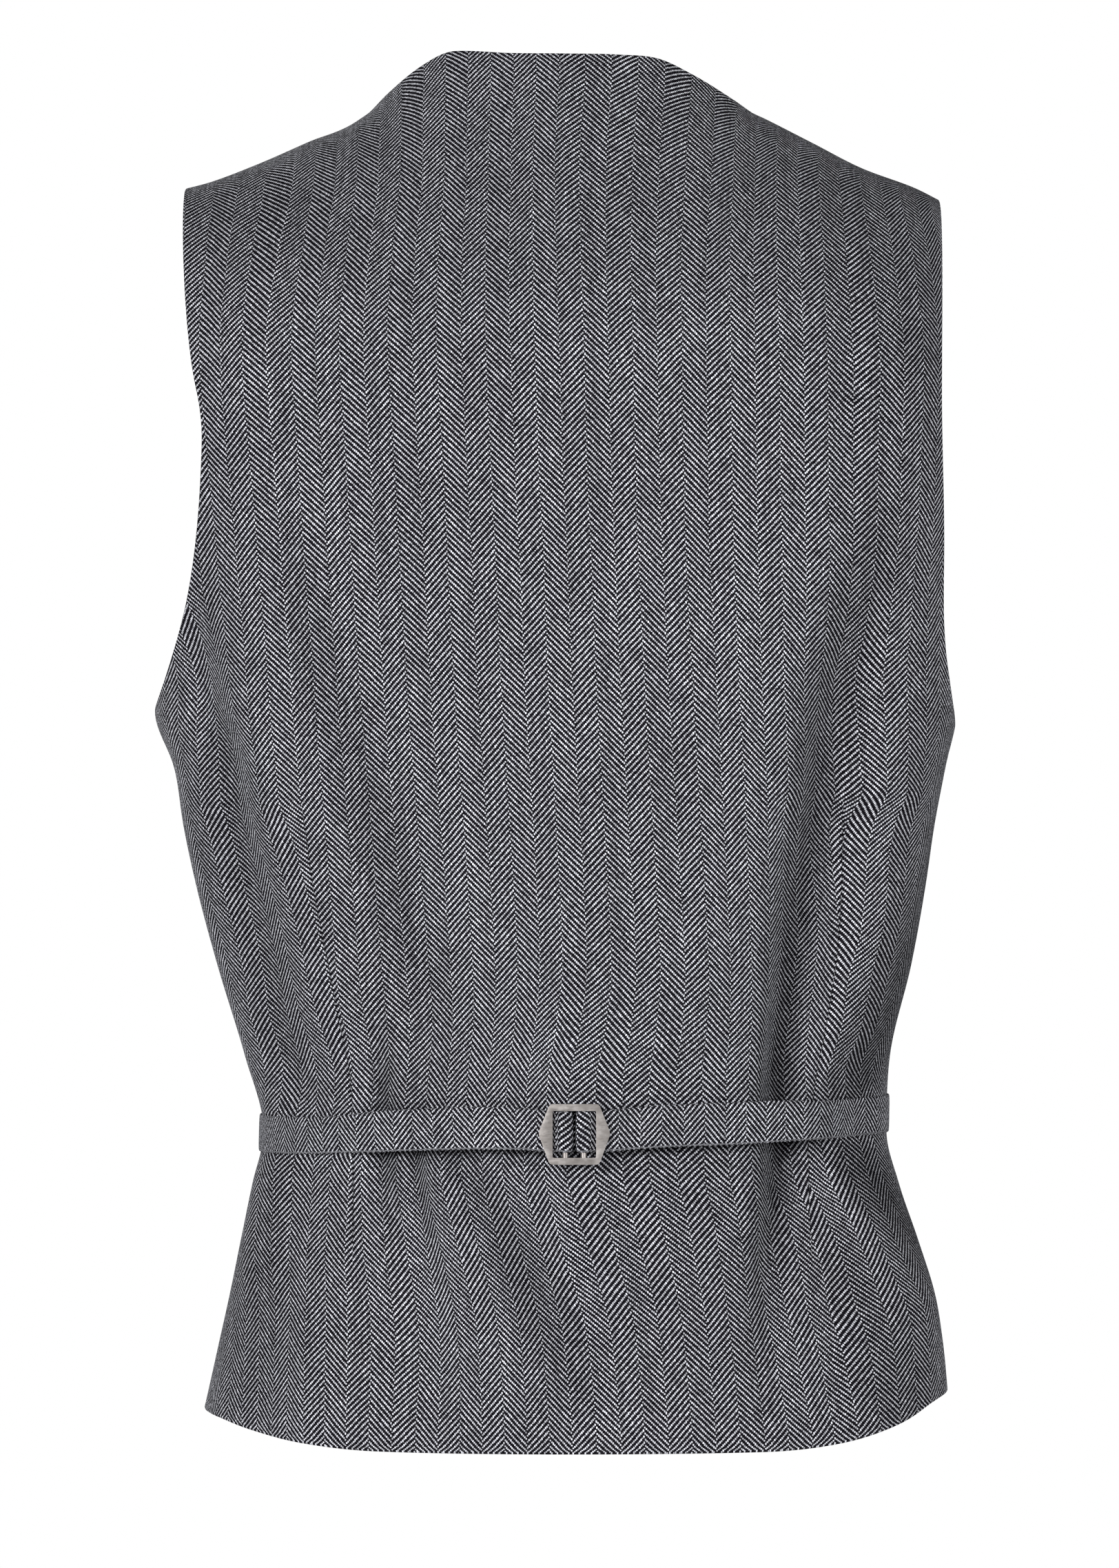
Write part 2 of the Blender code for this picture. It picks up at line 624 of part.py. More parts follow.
def rounded(corners, steps):
    """A closed outline of (x, height) whose corners, (x, height, radius), are arcs."""
    points = []
    for k, (x, z, radius) in enumerate(corners):
        corner = np.array((x, z))
        to_last = unit(np.array(corners[k - 1][:2]) - corner)
        to_next = unit(np.array(corners[(k + 1) % len(corners)][:2]) - corner)
        half_angle = math.acos(float(to_last @ to_next)) / 2
        centre = corner + unit(to_last + to_next) * radius / math.sin(half_angle)
        start = corner + to_last * radius / math.tan(half_angle) - centre
        end = corner + to_next * radius / math.tan(half_angle) - centre
        for step in range(steps + 1):
            share = step / steps
            points.append(centre + unit(start * (1 - share) + end * share) * radius)
    return points


def plate_with_window(name, outlines, thickness, collection):
    """A flat plate in the XZ plane, z up, from 2D outlines: the first is its edge, the rest holes."""
    curve = bpy.data.curves.new(name, "CURVE")
    curve.dimensions = "2D"
    curve.fill_mode = "BOTH"
    curve.extrude = thickness / 2 * MM
    for outline in outlines:
        spline = curve.splines.new("POLY")
        spline.points.add(len(outline) - 1)
        for point, (x, z) in zip(spline.points, outline):
            point.co = (x * MM, z * MM, 0, 1)
        spline.use_cyclic_u = True
    flat = bpy.data.objects.new(name + "_outline", curve)
    collection.objects.link(flat)
    bpy.context.view_layer.update()
    mesh = bpy.data.meshes.new_from_object(flat.evaluated_get(bpy.context.evaluated_depsgraph_get()))
    bpy.data.objects.remove(flat)
    plate = bmesh.new()
    plate.from_mesh(mesh)
    bmesh.ops.remove_doubles(plate, verts=plate.verts, dist=1e-6)
    bmesh.ops.recalc_face_normals(plate, faces=plate.faces)
    plate.to_mesh(mesh)
    plate.free()
    mesh.name = name
    return mesh


def make_buckle(collection, cutters, material):
    """The frame, bevelled, with its two bars joined to it."""
    right = FRAME_CORNERS
    left = tuple((-x, z, radius) for x, z, radius in reversed(right))
    window = [
        (sx * WINDOW_HALF_WIDTH, sz * WINDOW_HALF_HEIGHT, WINDOW_RADIUS)
        for sx, sz in ((1, 1), (1, -1), (-1, -1), (-1, 1))
    ]
    outlines = (
        rounded(right + left, FRAME_CORNER_STEPS),
        rounded(window, WINDOW_CORNER_STEPS),
    )
    mesh = plate_with_window("buckle", outlines, FRAME_THICKNESS, collection)
    frame = link(bpy.data.objects.new("buckle", mesh), collection, material)
    middle = buckle_depth() + FRAME_THICKNESS / 2
    frame.location = (BUCKLE_X * MM, middle * MM, BUCKLE_HEIGHT * MM)
    frame.rotation_euler = (math.pi / 2, 0, 0)
    edges = frame.modifiers.new("worn edges", "BEVEL")
    edges.width = FRAME_EDGE * MM
    edges.segments = 2
    edges.limit_method = "ANGLE"
    edges.angle_limit = math.radians(50)
    for side in (-1, 1):
        bar = bmesh.new()
        length = 2 * (WINDOW_HALF_HEIGHT + BAR_SEAT)
        bmesh.ops.create_cone(
            bar,
            cap_ends=True,
            segments=12,
            radius1=BAR_RADIUS * MM,
            radius2=BAR_RADIUS * MM,
            depth=length * MM,
        )
        bar_mesh = bpy.data.meshes.new("bar")
        bar.to_mesh(bar_mesh)
        bar.free()
        cutter = bpy.data.objects.new(f"bar_{side:+d}", bar_mesh)
        cutters.objects.link(cutter)
        depth = buckle_depth() + BAR_DEPTH
        cutter.location = ((BUCKLE_X + side * BAR_OFFSET) * MM, depth * MM, BUCKLE_HEIGHT * MM)
        cutter.hide_render = True
        cutter.display_type = "WIRE"
        join = frame.modifiers.new("bar", "BOOLEAN")
        join.operation = "UNION"
        join.object = cutter
    return frame


def button_mesh(collection):
    """A turned button with a raised rim and four holes, its face towards +Z."""
    mesh = bpy.data.meshes.new("button_profile")
    points = [(radius * MM, 0, height * MM) for radius, height in BUTTON_PROFILE]
    mesh.from_pydata(points, [(k, k + 1) for k in range(len(points) - 1)], [])
    turned = bpy.data.objects.new("button_turned", mesh)
    collection.objects.link(turned)
    screw = turned.modifiers.new("turn", "SCREW")
    screw.steps = screw.render_steps = BUTTON_STEPS
    screw.use_merge_vertices = True
    screw.merge_threshold = 1e-5
    holes = []
    for sx in (-1, 1):
        for sy in (-1, 1):
            bpy.ops.mesh.primitive_cylinder_add(
                vertices=BUTTON_HOLE_STEPS,
                radius=BUTTON_HOLE_RADIUS * MM,
                depth=2 * BUTTON_THICKNESS * MM,
                location=(sx * BUTTON_HOLE_OFFSET * MM, sy * BUTTON_HOLE_OFFSET * MM, 0),
            )
            hole = bpy.context.object
            holes.append(hole)
            cut = turned.modifiers.new("hole", "BOOLEAN")
            cut.operation = "DIFFERENCE"
            cut.object = hole
    bpy.context.view_layer.update()
    finished = bpy.data.meshes.new_from_object(
        turned.evaluated_get(bpy.context.evaluated_depsgraph_get())
    )
    for helper in holes + [turned]:
        bpy.data.objects.remove(helper)
    finished.name = "button"
    finished.shade_smooth()
    finished.set_sharp_from_angle(angle=math.radians(40))
    return finished


def make_buttons(collection, material):
    """Five buttons down the centre line of the left front, facing -Y."""
    mesh = button_mesh(collection)
    mesh.materials.append(material)
    for number, height in enumerate(BUTTON_HEIGHTS, start=1):
        point, normal = outward(left_front_surface, np.array(180.0), np.array(height))
        seat = point + normal * (LYING_GAP + BUTTON_THICKNESS / 2)
        button = bpy.data.objects.new(f"button_{number}", mesh)
        collection.objects.link(button)
        button.location = seat * MM
        tilt = math.atan2(normal[2], -normal[1])
        button.rotation_euler = (math.pi / 2 - tilt, 0, 0)


def clear_scene():
    for obj in list(bpy.data.objects):
        bpy.data.objects.remove(obj)


def new_collection(name):
    collection = bpy.data.collections.new(name)
    bpy.context.scene.collection.children.link(collection)
    return collection


def main():
    clear_scene()
    parts = new_collection(COLLECTION)
    cutters = new_collection("cutters")
    panels = {"back": back_grid(), "front_left": front_grid(1), "front_right": front_grid(-1)}
    for name, grid in panels.items():
        make_cloth(name, grid, CLOTH, -1, parts, make_material("wool"))
    for name, side in (("belt_left", 1), ("belt_right", -1)):
        make_cloth(name, belt_grid(side), BELT_CLOTH, 0, parts, make_material("wool"))
    make_buckle(parts, cutters, make_material("buckle_metal"))
    make_buttons(parts, make_material("button_horn"))


if __name__ == "__main__":
    main()
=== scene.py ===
"""Looks of the suit waistcoat: fine shells of herringbone wool, buckle, buttons and a studio.

The wearer faces -Y, so the back with its half belt is on the +Y side, where the camera stands, and
the wearer's left is +X. The form is worked out in millimetres and turned into metres as each piece
is made. Angles run round the body from the centre back (0) over the wearer's left side (90) to the
centre front (180), and negative angles run over the right side.
"""

import math

import bmesh
import bpy
import mathutils
import numpy as np
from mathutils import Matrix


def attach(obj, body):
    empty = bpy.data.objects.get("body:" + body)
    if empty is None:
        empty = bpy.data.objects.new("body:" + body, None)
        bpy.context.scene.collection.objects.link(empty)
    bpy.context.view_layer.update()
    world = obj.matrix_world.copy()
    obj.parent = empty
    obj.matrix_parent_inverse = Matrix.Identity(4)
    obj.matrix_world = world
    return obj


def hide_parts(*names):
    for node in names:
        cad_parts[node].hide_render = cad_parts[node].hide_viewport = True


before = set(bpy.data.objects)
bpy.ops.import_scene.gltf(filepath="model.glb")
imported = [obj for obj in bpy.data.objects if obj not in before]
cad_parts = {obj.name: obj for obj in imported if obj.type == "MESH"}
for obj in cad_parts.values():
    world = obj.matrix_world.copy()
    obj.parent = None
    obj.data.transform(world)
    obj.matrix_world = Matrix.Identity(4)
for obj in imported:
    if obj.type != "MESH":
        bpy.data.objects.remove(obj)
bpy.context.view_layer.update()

MM = 0.001

# Cloth
CLOTH = 1.6
BELT_CLOTH = 2.0
EDGE_ROUNDING = 0.66
SEAM_GAP = 0.05
LYING_GAP = 0.4
LAP = 11.0
LAP_STEP = 2.1
LAP_FADE = (-45.0, -14.0)
LAP_HEIGHTS = (-245.0, -215.0)
PLAIN_FRONT = (16.0, 34.0)
SEAM_REACH, WAIST_REACH = 170.0, 130.0
CLOTH_MAP = "cloth"

# Levels
WAIST = -433.0
BELT_FOOT, BELT_HEAD = -446.0, -412.0
UNDERARM_LEFT, UNDERARM_RIGHT = -254.0, -261.0
V_BOTTOM = -277.0
CAP = -120.0

# Where a table's first row is names, they name its columns, and its first column's places rise.

# Level sections of the body: half widths to each side, depths to the back and the front, how far
# the section is squared out between them, and how flat its back is.
SECTIONS = (
    ("height", "left", "right", "back", "front", "square", "flat"),
    (-590, 164, 168, 113, 114, 0.08, 0.08), (-552, 154, 163.5, 111, 112, 0.08, 0.08),
    (-523, 147.4, 160.6, 106.5, 110, 0.08, 0.08), (-504, 143.2, 157.6, 102.5, 108, 0.07, 0.07),
    (-480, 138.4, 150.4, 97, 106, 0.06, 0.06), (-455, 133.4, 142.2, 92.5, 104, 0.05, 0.05),
    (-433, 128.6, 137.2, 90, 102.5, 0.05, 0.05), (-401, 136.8, 138.8, 92, 103, 0.06, 0.06),
    (-362, 148.5, 148, 99, 106, 0.09, 0.09), (-327, 157.5, 154.2, 105, 110, 0.12, 0.14),
    (-303, 162.4, 157.6, 109, 113, 0.14, 0.20), (-278, 166.3, 162.2, 112, 115, 0.16, 0.26),
    (-254, 174.6, 167, 114, 115.5, 0.17, 0.31), (-230, 174.5, 167.4, 115, 114.5, 0.17, 0.36),
    (-183, 174, 169.6, 115, 110, 0.18, 0.44), (-120, 174, 170, 111, 99, 0.18, 0.50),
)

# Side seams, and each armhole edge's angle at the top, how round it is and how far it flares
SIDE_SEAM = 94.0
ARMHOLES = {
    "back_left": (54.9, 2.6, 2.2),
    "back_right": (63.3, 3.3, 0.0),
    "front": (128.0, 2.5, 0.0),
}
FLARE_FROM = 0.82

# Neckline and shoulder seams, right shoulder tip to left shoulder tip
TOP_EDGE = (
    ("across", "x", "y", "height", "lean"),
    (-1.00, -159.4, 2, -36.4, 90), (-0.88, -147.5, 2, -30.6, 90), (-0.75, -126.5, 2, -22.9, 90),
    (-0.60, -105, 2, -12, 90), (-0.4375, -83.5, 3, -1.2, 90), (-0.37, -72, 26, 4.2, 62),
    (-0.28, -54, 40, 13.8, 46), (-0.20, -38, 47.5, 20.2, 35), (-0.12, -22, 51, 21.2, 30),
    (0.00, 0, 52.5, 21.5, 29), (0.12, 24, 51, 21.9, 30), (0.22, 46, 44.5, 23.4, 35),
    (0.30, 61.5, 36, 17.4, 46), (0.37, 75, 23.5, 7.6, 62), (0.4375, 86.5, 3, -1.6, 90),
    (0.60, 109.4, 2, -11.8, 90), (0.75, 130, 2, -20.8, 90), (0.90, 150.6, 2, -28.6, 90),
    (1.00, 161.6, 2, -31.5, 90),
)
NECK_POINT = 0.4375

# Hems
BACK_HEM = (
    ("share", "left", "right"),
    (0.00, -560.6, -560.6), (0.30, -560.4, -560.7), (0.45, -558.4, -558.4), (0.60, -554.6, -552.6),
    (0.75, -551.6, -545.4), (1.00, -550.8, -543),
)
FRONT_POINT_SHARE, FRONT_POINT, FRONT_EDGE_HEM = 0.74, -578.0, -541.0
FRONT_EDGE = (("height", "x"), (V_BOTTOM, -LAP), (-200.0, 22.0), (CAP, 52.0))

# Rows and columns of the fine panels. The row through the underarm dips inside the panel, so that
# the armhole's edge leaves it at a clear angle, and the rows above it stand closer at that edge.
BACK_COLUMNS = 150
BACK_ROWS = (46, 34, 52, 60, 60)
FRONT_COLUMNS = 68
FRONT_ROWS = (44, 58, 60, 54)
UNDERARM_DIP = 42.0
UNDERARM_EASE = 2.0
RIM_STEPS = 4
# The angle from which the left side's columns widen, by what share, and how softly that starts
LEFT_TURN, LEFT_EASE, LEFT_SOFT = 52.0, 0.42, 15.0

# The ribs above the cap level: how far up, in thirds, the cloth keeps its direction before it turns
# forward, and how long the stretch is that arrives at a level top edge and at one that leans over
CAP_RISE = 84.0
ARRIVING = (2.0, 1.35)

NEAR_CAP = (CAP, CAP - 60.0)  # the heights between which seams, soft folds and ripples come in

# Gathers of the back: lines where the worn cloth folds in on itself. "arc" is the way round the
# body from the centre back, positive over the left side, "taken" the width of cloth that the line
# hides, "reach" half the width over which it turns in, and "depth" how deep the trough is, which is
# wider than the turning in.
GATHER_WIDTH = 1.7
GATHER = ("height", "arc", "taken", "reach", "depth")
GATHERS = {
    "left_band": (
        GATHER,
        (-430, 112, 0, 8, 0), (-408, 118, 2, 6, 0.5), (-388, 122.5, 4, 6, 0.9),
        (-360, 128, 6, 6, 1.5), (-331, 133, 8, 6, 1.8), (-303, 140, 10, 5, 2.4),
        (-274, 143, 11.3, 5, 2.4), (-246, 152, 14, 6, 2), (-205, 158, 0, 7, 0),
    ),
    "left_of_centre": (
        GATHER,
        (-480, 74, 0, 3, 0), (-462, 75, 1.8, 3, 0.9), (-446, 76, 4.5, 3, 1.4),
        (-408, 76.5, 4.3, 3, 1.6), (-380, 79, 0, 4, 0),
    ),
    "under_belt": (
        GATHER,
        (-550, 45, 0, 5, 0), (-530, 46, 1.6, 5, 0.4), (-507, 49, 2.6, 4, 0.8),
        (-485, 53, 4.2, 3.5, 1.2), (-462, 58.5, 7, 2.8, 1.7), (-440, 61.5, 8.4, 2.6, 1.8),
        (-424, 63, 0, 3, 0),
    ),
    "right_upper": (
        GATHER,
        (-348, -97, 0, 4, 0), (-331, -97, 3, 4, 0.9), (-303, -101.5, 6.6, 3.5, 1.6),
        (-274, -103, 8.6, 3.5, 1.8), (-246, -108, 9.4, 8, 1.7), (-218, -119, 5, 10, 1),
        (-186, -128, 0, 12, 0),
    ),
    "right_valley": (
        GATHER,
        (-552, -88, 0, 5, 0), (-530, -86, 1, 5, 0.6), (-507, -83, 3.6, 4, 1.2),
        (-485, -82.5, 6.4, 3.5, 1.8), (-462, -87, 10, 3.2, 2.4), (-446, -88.5, 12.3, 3.2, 2.8),
        (-408, -87.5, 13.4, 3.2, 3), (-388, -88.5, 12.5, 3.2, 2.6), (-360, -90, 7.4, 3, 1.8),
        (-331, -91, 5, 3, 1.2), (-303, -90, 4, 3, 0.8), (-288, -88, 0, 3, 0),
    ),
}

# Folds of the back: troughs, with a negative depth, and ridges, each a line of places
BACK_FOLD = ("height", "x", "half_width", "depth")
BACK_FOLDS = {
    "right_valley": (
        BACK_FOLD,
        (-548, -81, 8, 0), (-525, -82.5, 7, -3), (-500, -84, 6.5, -5.5), (-480, -85.5, 6.5, -8),
        (-460, -87.5, 6.5, -10.5), (-440, -89, 7, -12), (-400, -90, 7, -12.5),
        (-380, -92, 7.5, -12.5), (-340, -97, 8.5, -11.5), (-300, -104, 9.5, -10.5),
        (-260, -110, 11, -9.5), (-240, -114, 12, -8.5), (-220, -120, 14, -7),
        (-200, -127, 16, -5.5), (-180, -134, 16, -3.5), (-150, -142, 16, 0),
    ),
    "right_ridge": (
        BACK_FOLD,
        (-530, -156, 12, 0), (-500, -148, 11, 5), (-480, -136, 11, 7), (-460, -123, 10, 7.5),
        (-444, -111, 9, 5.5), (-434, -107, 8, 0), (-417, -107, 8, 0), (-407, -110, 9, 5),
        (-395, -115, 11, 7), (-380, -122, 13, 9), (-340, -136, 16, 10.5), (-300, -144, 17, 11),
        (-260, -154, 20, 12), (-220, -172, 24, 16), (-180, -176, 24, 16), (-148, -174, 20, 7),
        (-121, -172, 18, 0),
    ),
    "right_side": (
        BACK_FOLD,
        (-522, -162, 6, 0), (-500, -161, 7, -7), (-480, -152, 8, -12), (-460, -139, 10, -14),
        (-443, -127, 10, -12), (-434, -123, 11, -8), (-417, -123, 11, -8), (-408, -126, 11, -12),
        (-380, -140, 10, -14), (-340, -151, 8, -12), (-300, -158, 7, -9), (-270, -162, 6, -5),
        (-240, -164, 6, 0),
    ),
    "left_band": (
        BACK_FOLD,
        (-424, 108, 8, 0), (-408, 112, 8, -3.5), (-395, 116, 8.5, -5), (-380, 119, 8.5, -6),
        (-360, 124, 8.5, -6.5), (-340, 128, 8, -7), (-320, 132, 8, -7.5), (-300, 136, 8, -7.5),
        (-280, 140, 7.5, -7.5), (-260, 142, 7.5, -7), (-240, 144, 8, -6), (-220, 150, 8, -4.5),
        (-195, 153, 8, -2), (-165, 154, 8, 0),
    ),
    "left_strip": (
        BACK_FOLD,
        (-408, 127, 9, 0), (-380, 134, 9, 1.5), (-340, 143, 10, 3.5), (-300, 151, 10, 5),
        (-260, 158, 10, 5), (-225, 163, 10, 3), (-190, 167, 10, 0),
    ),
    "left_blade": (
        BACK_FOLD,
        (-425, 48, 8, 0), (-388, 53, 9, -4.5), (-340, 69, 9.5, -6.5), (-281, 87, 10, -7),
        (-220, 106, 9.5, -6.5), (-183, 117, 9.5, -4.5), (-148, 124, 10, 0),
    ),
    "left_streak": (
        BACK_FOLD,
        (-492, 72, 4, 0), (-470, 72.5, 4, -2), (-440, 74, 4.5, -4.5), (-412, 75.5, 4.5, -4.5),
        (-398, 76, 4.5, -2.5), (-378, 77, 5, 0),
    ),
    "inner_streak": (
        BACK_FOLD,
        (-490, 52, 6, 0), (-465, 57, 4.5, -2.5), (-440, 62, 4, -4.5), (-418, 63, 4.5, -1),
        (-402, 64, 5, 0),
    ),
    "long_diagonal": (
        BACK_FOLD,
        (-549, -15, 13, 0), (-525, -3, 13, -6), (-490, 15, 11, -8), (-460, 33, 9, -8),
        (-440, 44, 8, -6.5), (-420, 53, 7, 0),
    ),
    "hem_left": (
        BACK_FOLD,
        (-551, 141, 16, 0), (-520, 138, 16, -6), (-485, 134, 14, -6), (-450, 128, 12, 0),
    ),
    "waist_left": (
        BACK_FOLD,
        (-421, 106, 7, 0), (-408, 114, 7, -2.8), (-396, 122, 7, -2.8), (-380, 130, 7, 0),
    ),
    "under_belt_right": (
        BACK_FOLD,
        (-500, -44, 9, 0), (-470, -36, 8, -1.2), (-440, -28, 7, -1.6), (-425, -27, 7, 0),
    ),
}
FOLDS_END = (76.0, 93.0)  # degrees round the body at which they fade towards the side seams

# Darts of the back, double-pointed: the seam's line, and the width of cloth it takes in. Where that
# is DEEP_DART or more, the cloth rises beside the seam and sinks into it by the whole of these
# heights, over these reaches.
DEEP_DART, SEAM_RISE, SEAM_SINK = 6.0, (0.35, 5.0), (0.75, 1.6)
DART = ("height", "arc", "taken")
DARTS = {
    "left": (
        DART,
        (-486, 91, 0), (-462, 91.5, 3), (-446, 92, 4.4), (-441, 92.1, 4.8), (-427, 92.4, 20),
        (-408, 92.8, 20.9), (-388, 96.5, 18.8), (-360, 101.5, 15.2), (-331, 106.5, 9.4),
        (-303, 109.5, 3), (-294, 110.5, 0),
    ),
    "right": (
        DART,
        (-486, -106, 0), (-462, -106, 3), (-446, -106.4, 4.4), (-433, -107, 5.2), (-418, -109, 18),
        (-408, -110.5, 18.4), (-388, -114.5, 14.5), (-360, -118.5, 13.6), (-331, -119.5, 8.6),
        (-303, -118.5, 3.4), (-291, -118, 0),
    ),
}

# Where the herringbone columns run: the centre column's place round the body, and how much more
# cloth than body there is from it to each of the arcs, gathers and darts apart.
GRAIN_ARCS = {
    "right_edge": -160.0,
    "right": -115.0,
    "right_half": -60.0,
    "middle": 0.0,
    "left_half": 60.0,
    "left": 115.0,
    "left_edge": 155.0,
}
GRAIN = (
    ("height", "centre", "left_edge", "left", "left_half", "right_half", "right", "right_edge"),
    (-555, -23, 10, 3, 4, 0, 3, 12), (-530, -21, 10, 2.5, 6, 0, 1, 13.5),
    (-507, -17.8, 11, 4.5, 7.5, 1, 1, 17), (-485, -11, 10, 9, 8.5, 4.5, 7, 18),
    (-462, -4.2, 9, 9.5, 8, 7.5, 12, 22), (-446, -0.5, 7, 8, 7.5, 8.5, 12, 24),
    (-408, -1.4, 12, 12, 11, 6.5, 8, 13), (-388, -5.3, 7, 7.5, 9, 4, 4, 15),
    (-360, -8.7, 3, 2, 4, 1.5, -3, 10), (-303, -6.2, 0, 2.5, 2.3, 0.3, -2.5, 10),
    (-246, -3, 1, 2.3, 1.3, 0, -2.5, 9), (-190, -0.8, -1, 0.2, 0.6, -1, -0.3, 3),
    (-161, 0.7, -3, 0, 0.5, 0, 0.5, 6), (-104, 2.4, -6, -1.8, -1, 1, 1.7, 10.5),
    (-64, 3.8, -2.5, 4, 1.4, 2.7, 1.7, 6.7), (-29, 4.6, 0, 9.4, 4.8, 6.2, 1.2, 0),
    (10, 2.6, 0, 7, 2.5, 7, 3, 0),
)

# Soft folds of the fronts: x and height of each one's top and foot, how far its middle lies off the
# straight line, half its width and its depth. A negative depth is a trough.
FOLD_STATIONS, FOLD_FADE = 9, 0.12
FRONT_FOLDS = (
    (112, -330, 52, -404, 4, 9, -1.5), (118, -384, 44, -430, 3, 8, -1.7),
    (116, -424, 36, -444, -2, 9, 1.2), (112, -452, 50, -490, -3, 10, -1.5),
    (92, -150, 118, -238, -4, 14, -1.1), (40, -300, 30, -372, 3, 10, -0.8),
    (84, -500, 92, -556, 2, 12, -0.9),
)

# Low, slow unevenness of worn cloth: how far its waves slant with depth, and for each its height, its
# lengths across and up, and its phase
RIPPLE_SLANT = 0.6
RIPPLES = (
    (0.30, 31, 74, 0.4), (0.24, -43, 57, 1.9), (0.20, 25, -96, 3.1), (0.13, 17, 41, 4.4),
)

# Half belts, left 1 and right -1: the level of each one's middle, its own height and its lift
BELT = ("x", "middle", "height", "lift")
BELTS = {
    1: (
        BELT,
        (-2, -428.8, 16.9, 2.3), (9, -428.6, 17, 2.3), (22, -427.6, 18, 2.3), (36, -427.6, 18.2, 1.6),
        (60, -428.6, 17.8, 0.9), (80, -430, 17.2, 0), (91, -431.2, 16, 0), (130, -433.6, 15.8, 0),
    ),
    -1: (
        BELT,
        (-136, -425.2, 15.9, 0), (-108, -425.6, 16.2, 0), (-92, -425.4, 17.4, 0.3), (-70, -426, 17.9, 1.2),
        (-45, -426.6, 18, 1.7), (-30, -427.4, 18, 2.3), (-17, -428.6, 17, 2.3), (-4, -428.8, 16.9, 2.3),
    ),
}
BELT_STATIONS = 24
BELT_LINE, BELT_CALM = -430.0, 16.0  # the cloth under the belts, and how far round them, lies even
PRESS_LINE, PRESS_DEPTH, PRESS_REACH = -433.5, 5.5, 10.5  # how the belts press the back in
PRESS_FROM, PRESS_TO = (-116.0, -103.0), (76.0, 90.0)  # where they are free of it, right to left
BELT_SINKS = ("right_side",)  # the folds that a belt's sewn end follows
BELT_FINER = 4  # stations made from each
SEWN_ENDS, SEWN_THINNER = (98.0, 124.0), 0.6  # how far out a belt thins to its seam, and by how much
BELT_EDGE_ROUNDING = 0.9
BELT_SECTION_STEPS = (12, 5)  # points across a face and round an edge
BELT_CROWN = 0.25

# Buckle
BUCKLE_X, BUCKLE_HEIGHT = -3.8, -429.8
BUCKLE_LIFT = 5.1
FRAME_THICKNESS = 2.4
FRAME_EDGE = 0.5
FRAME_CORNERS = ((10.2, 12.5, 2.0), (14.95, 0.4, 4.5), (10.2, -12.5, 2.0))
WINDOW_HALF_WIDTH, WINDOW_HALF_HEIGHT, WINDOW_RADIUS = 9.0, 9.7, 0.7
FRAME_CORNER_STEPS, WINDOW_CORNER_STEPS = 14, 6
BAR_OFFSET, BAR_RADIUS = 3.8, 0.9
BAR_DEPTH = 0.9
BAR_SEAT = 1.0
BAR_GAP = 0.05
BAR_SEGMENTS = 32
FOOT_RADIUS, FOOT_HEIGHT, FOOT_SEAT = 1.25, 2.1, 0.2
FRAME_EDGE_SEGMENTS = 4
FRAME_SHARP, BUCKLE_SHARP = 50, 35  # degrees: corners worn round, and edges shaded sharp
# A half belt's way through the buckle, out from its middle: before its bar, round it, and back under
ROUTE_TO_BAR = ((14.0, 0.0), (11.0, 0.0), (9.4, 0.05), (8.0, 0.6), (6.9, 1.5))
ROUTE_FROM_BAR = ((3.4, -0.9),)
LOOP_TURN = (10.0, 220.0)
LOOP_STEPS = 10
TAIL = (5.4, 22.0)
TAIL_STEPS = 4

# Buttons
BUTTON_HEIGHTS = (-291.0, -348.0, -405.0, -462.0, -519.0)
BUTTON_THICKNESS = 3.0
BUTTON_PROFILE = (
    (0, 0.55), (3.6, 0.6), (5, 0.7), (5.9, 1.25), (6.5, 1.5), (7.1, 1.35), (7.5, 0.7), (7.4, -0.3),
    (6.9, -1.1), (5.9, -1.5), (0, -1.5),
)
BUTTON_HOLE_RADIUS, BUTTON_HOLE_OFFSET = 0.9, 1.7
BUTTON_STEPS, BUTTON_HOLE_STEPS, BUTTON_SHARP = 64, 20, 40

# Weave, in mm: how far apart its yarns are, and each kind of unevenness with its length and reach
END, PICK, COLUMN_ENDS = 0.62, 0.64, 16
COLUMN_WIDTH = END * COLUMN_ENDS
BELT_COLUMN_WIDTHS = {1: 8.75, -1: 9.1}
SLOW_WAVE, SLOW_REACH = 14.0, 0.35
RAGGED_LENGTH, RAGGED_REACH = 1.0, 0.32
MARL_LENGTH = 1.1
SLUB_WIDTH, SLUB_LENGTH, SLUB_REACH = 0.7, 9.0, 0.17
CLOUD_LENGTH, CLOUD_DEPTH = 34.0, 0.44
LIGHT_FROM, YARN_BLUR = 0.35, 0.03
YARN_SPREAD, FLOAT_SPREAD, YARN_RELIEF = 0.36, 0.6, 0.14
YARN_VALLEY, VALLEY_TOP, PICK_HEIGHT = 0.1, 0.55, 0.8  # painted shade in the gaps between yarns: how dark, to what height it reaches, and a pick's height

PAINTED_FOLD_SHADE = {  # painted shade in the troughs of these folds: how much darker the cloth is painted to a millimetre of depth
    "right_valley": 0.044,
    "right_side": 0.036,
    "left_band": 0.032,
    "left_blade": 0.026,
    "left_streak": 0.075,
    "inner_streak": 0.07,
    "long_diagonal": 0.034,
    "hem_left": 0.02,
    "waist_left": 0.02,
}
# the most painted shade that the folds can give
MOST_FOLD_SHADE_PAINTED = 0.56
PAINTED_YOKE_SHADE = 0.08  # painted shade over the shoulder blades: how much darker the cloth is painted there
YOKE, NAPE = (-96.0, -66.0), (-36.0, -6.0)  # the heights at which that starts and ends
PAINTED_BELT_FOOT_SHADOW, PAINTED_BELT_FOOT_SHADOW_REACH = 0.58, 1.5  # painted shadow right under the belts' lower edges: how much darker, and how far it reaches
SEAM_WIDTHS, SEAM_SHADE = (0.15, 0.7), 0.5  # half widths of a dart's line, and how dark it is
SEAM_SHOWS = (0.4, 2.5)  # the take-up at which it starts to show, and shows fully

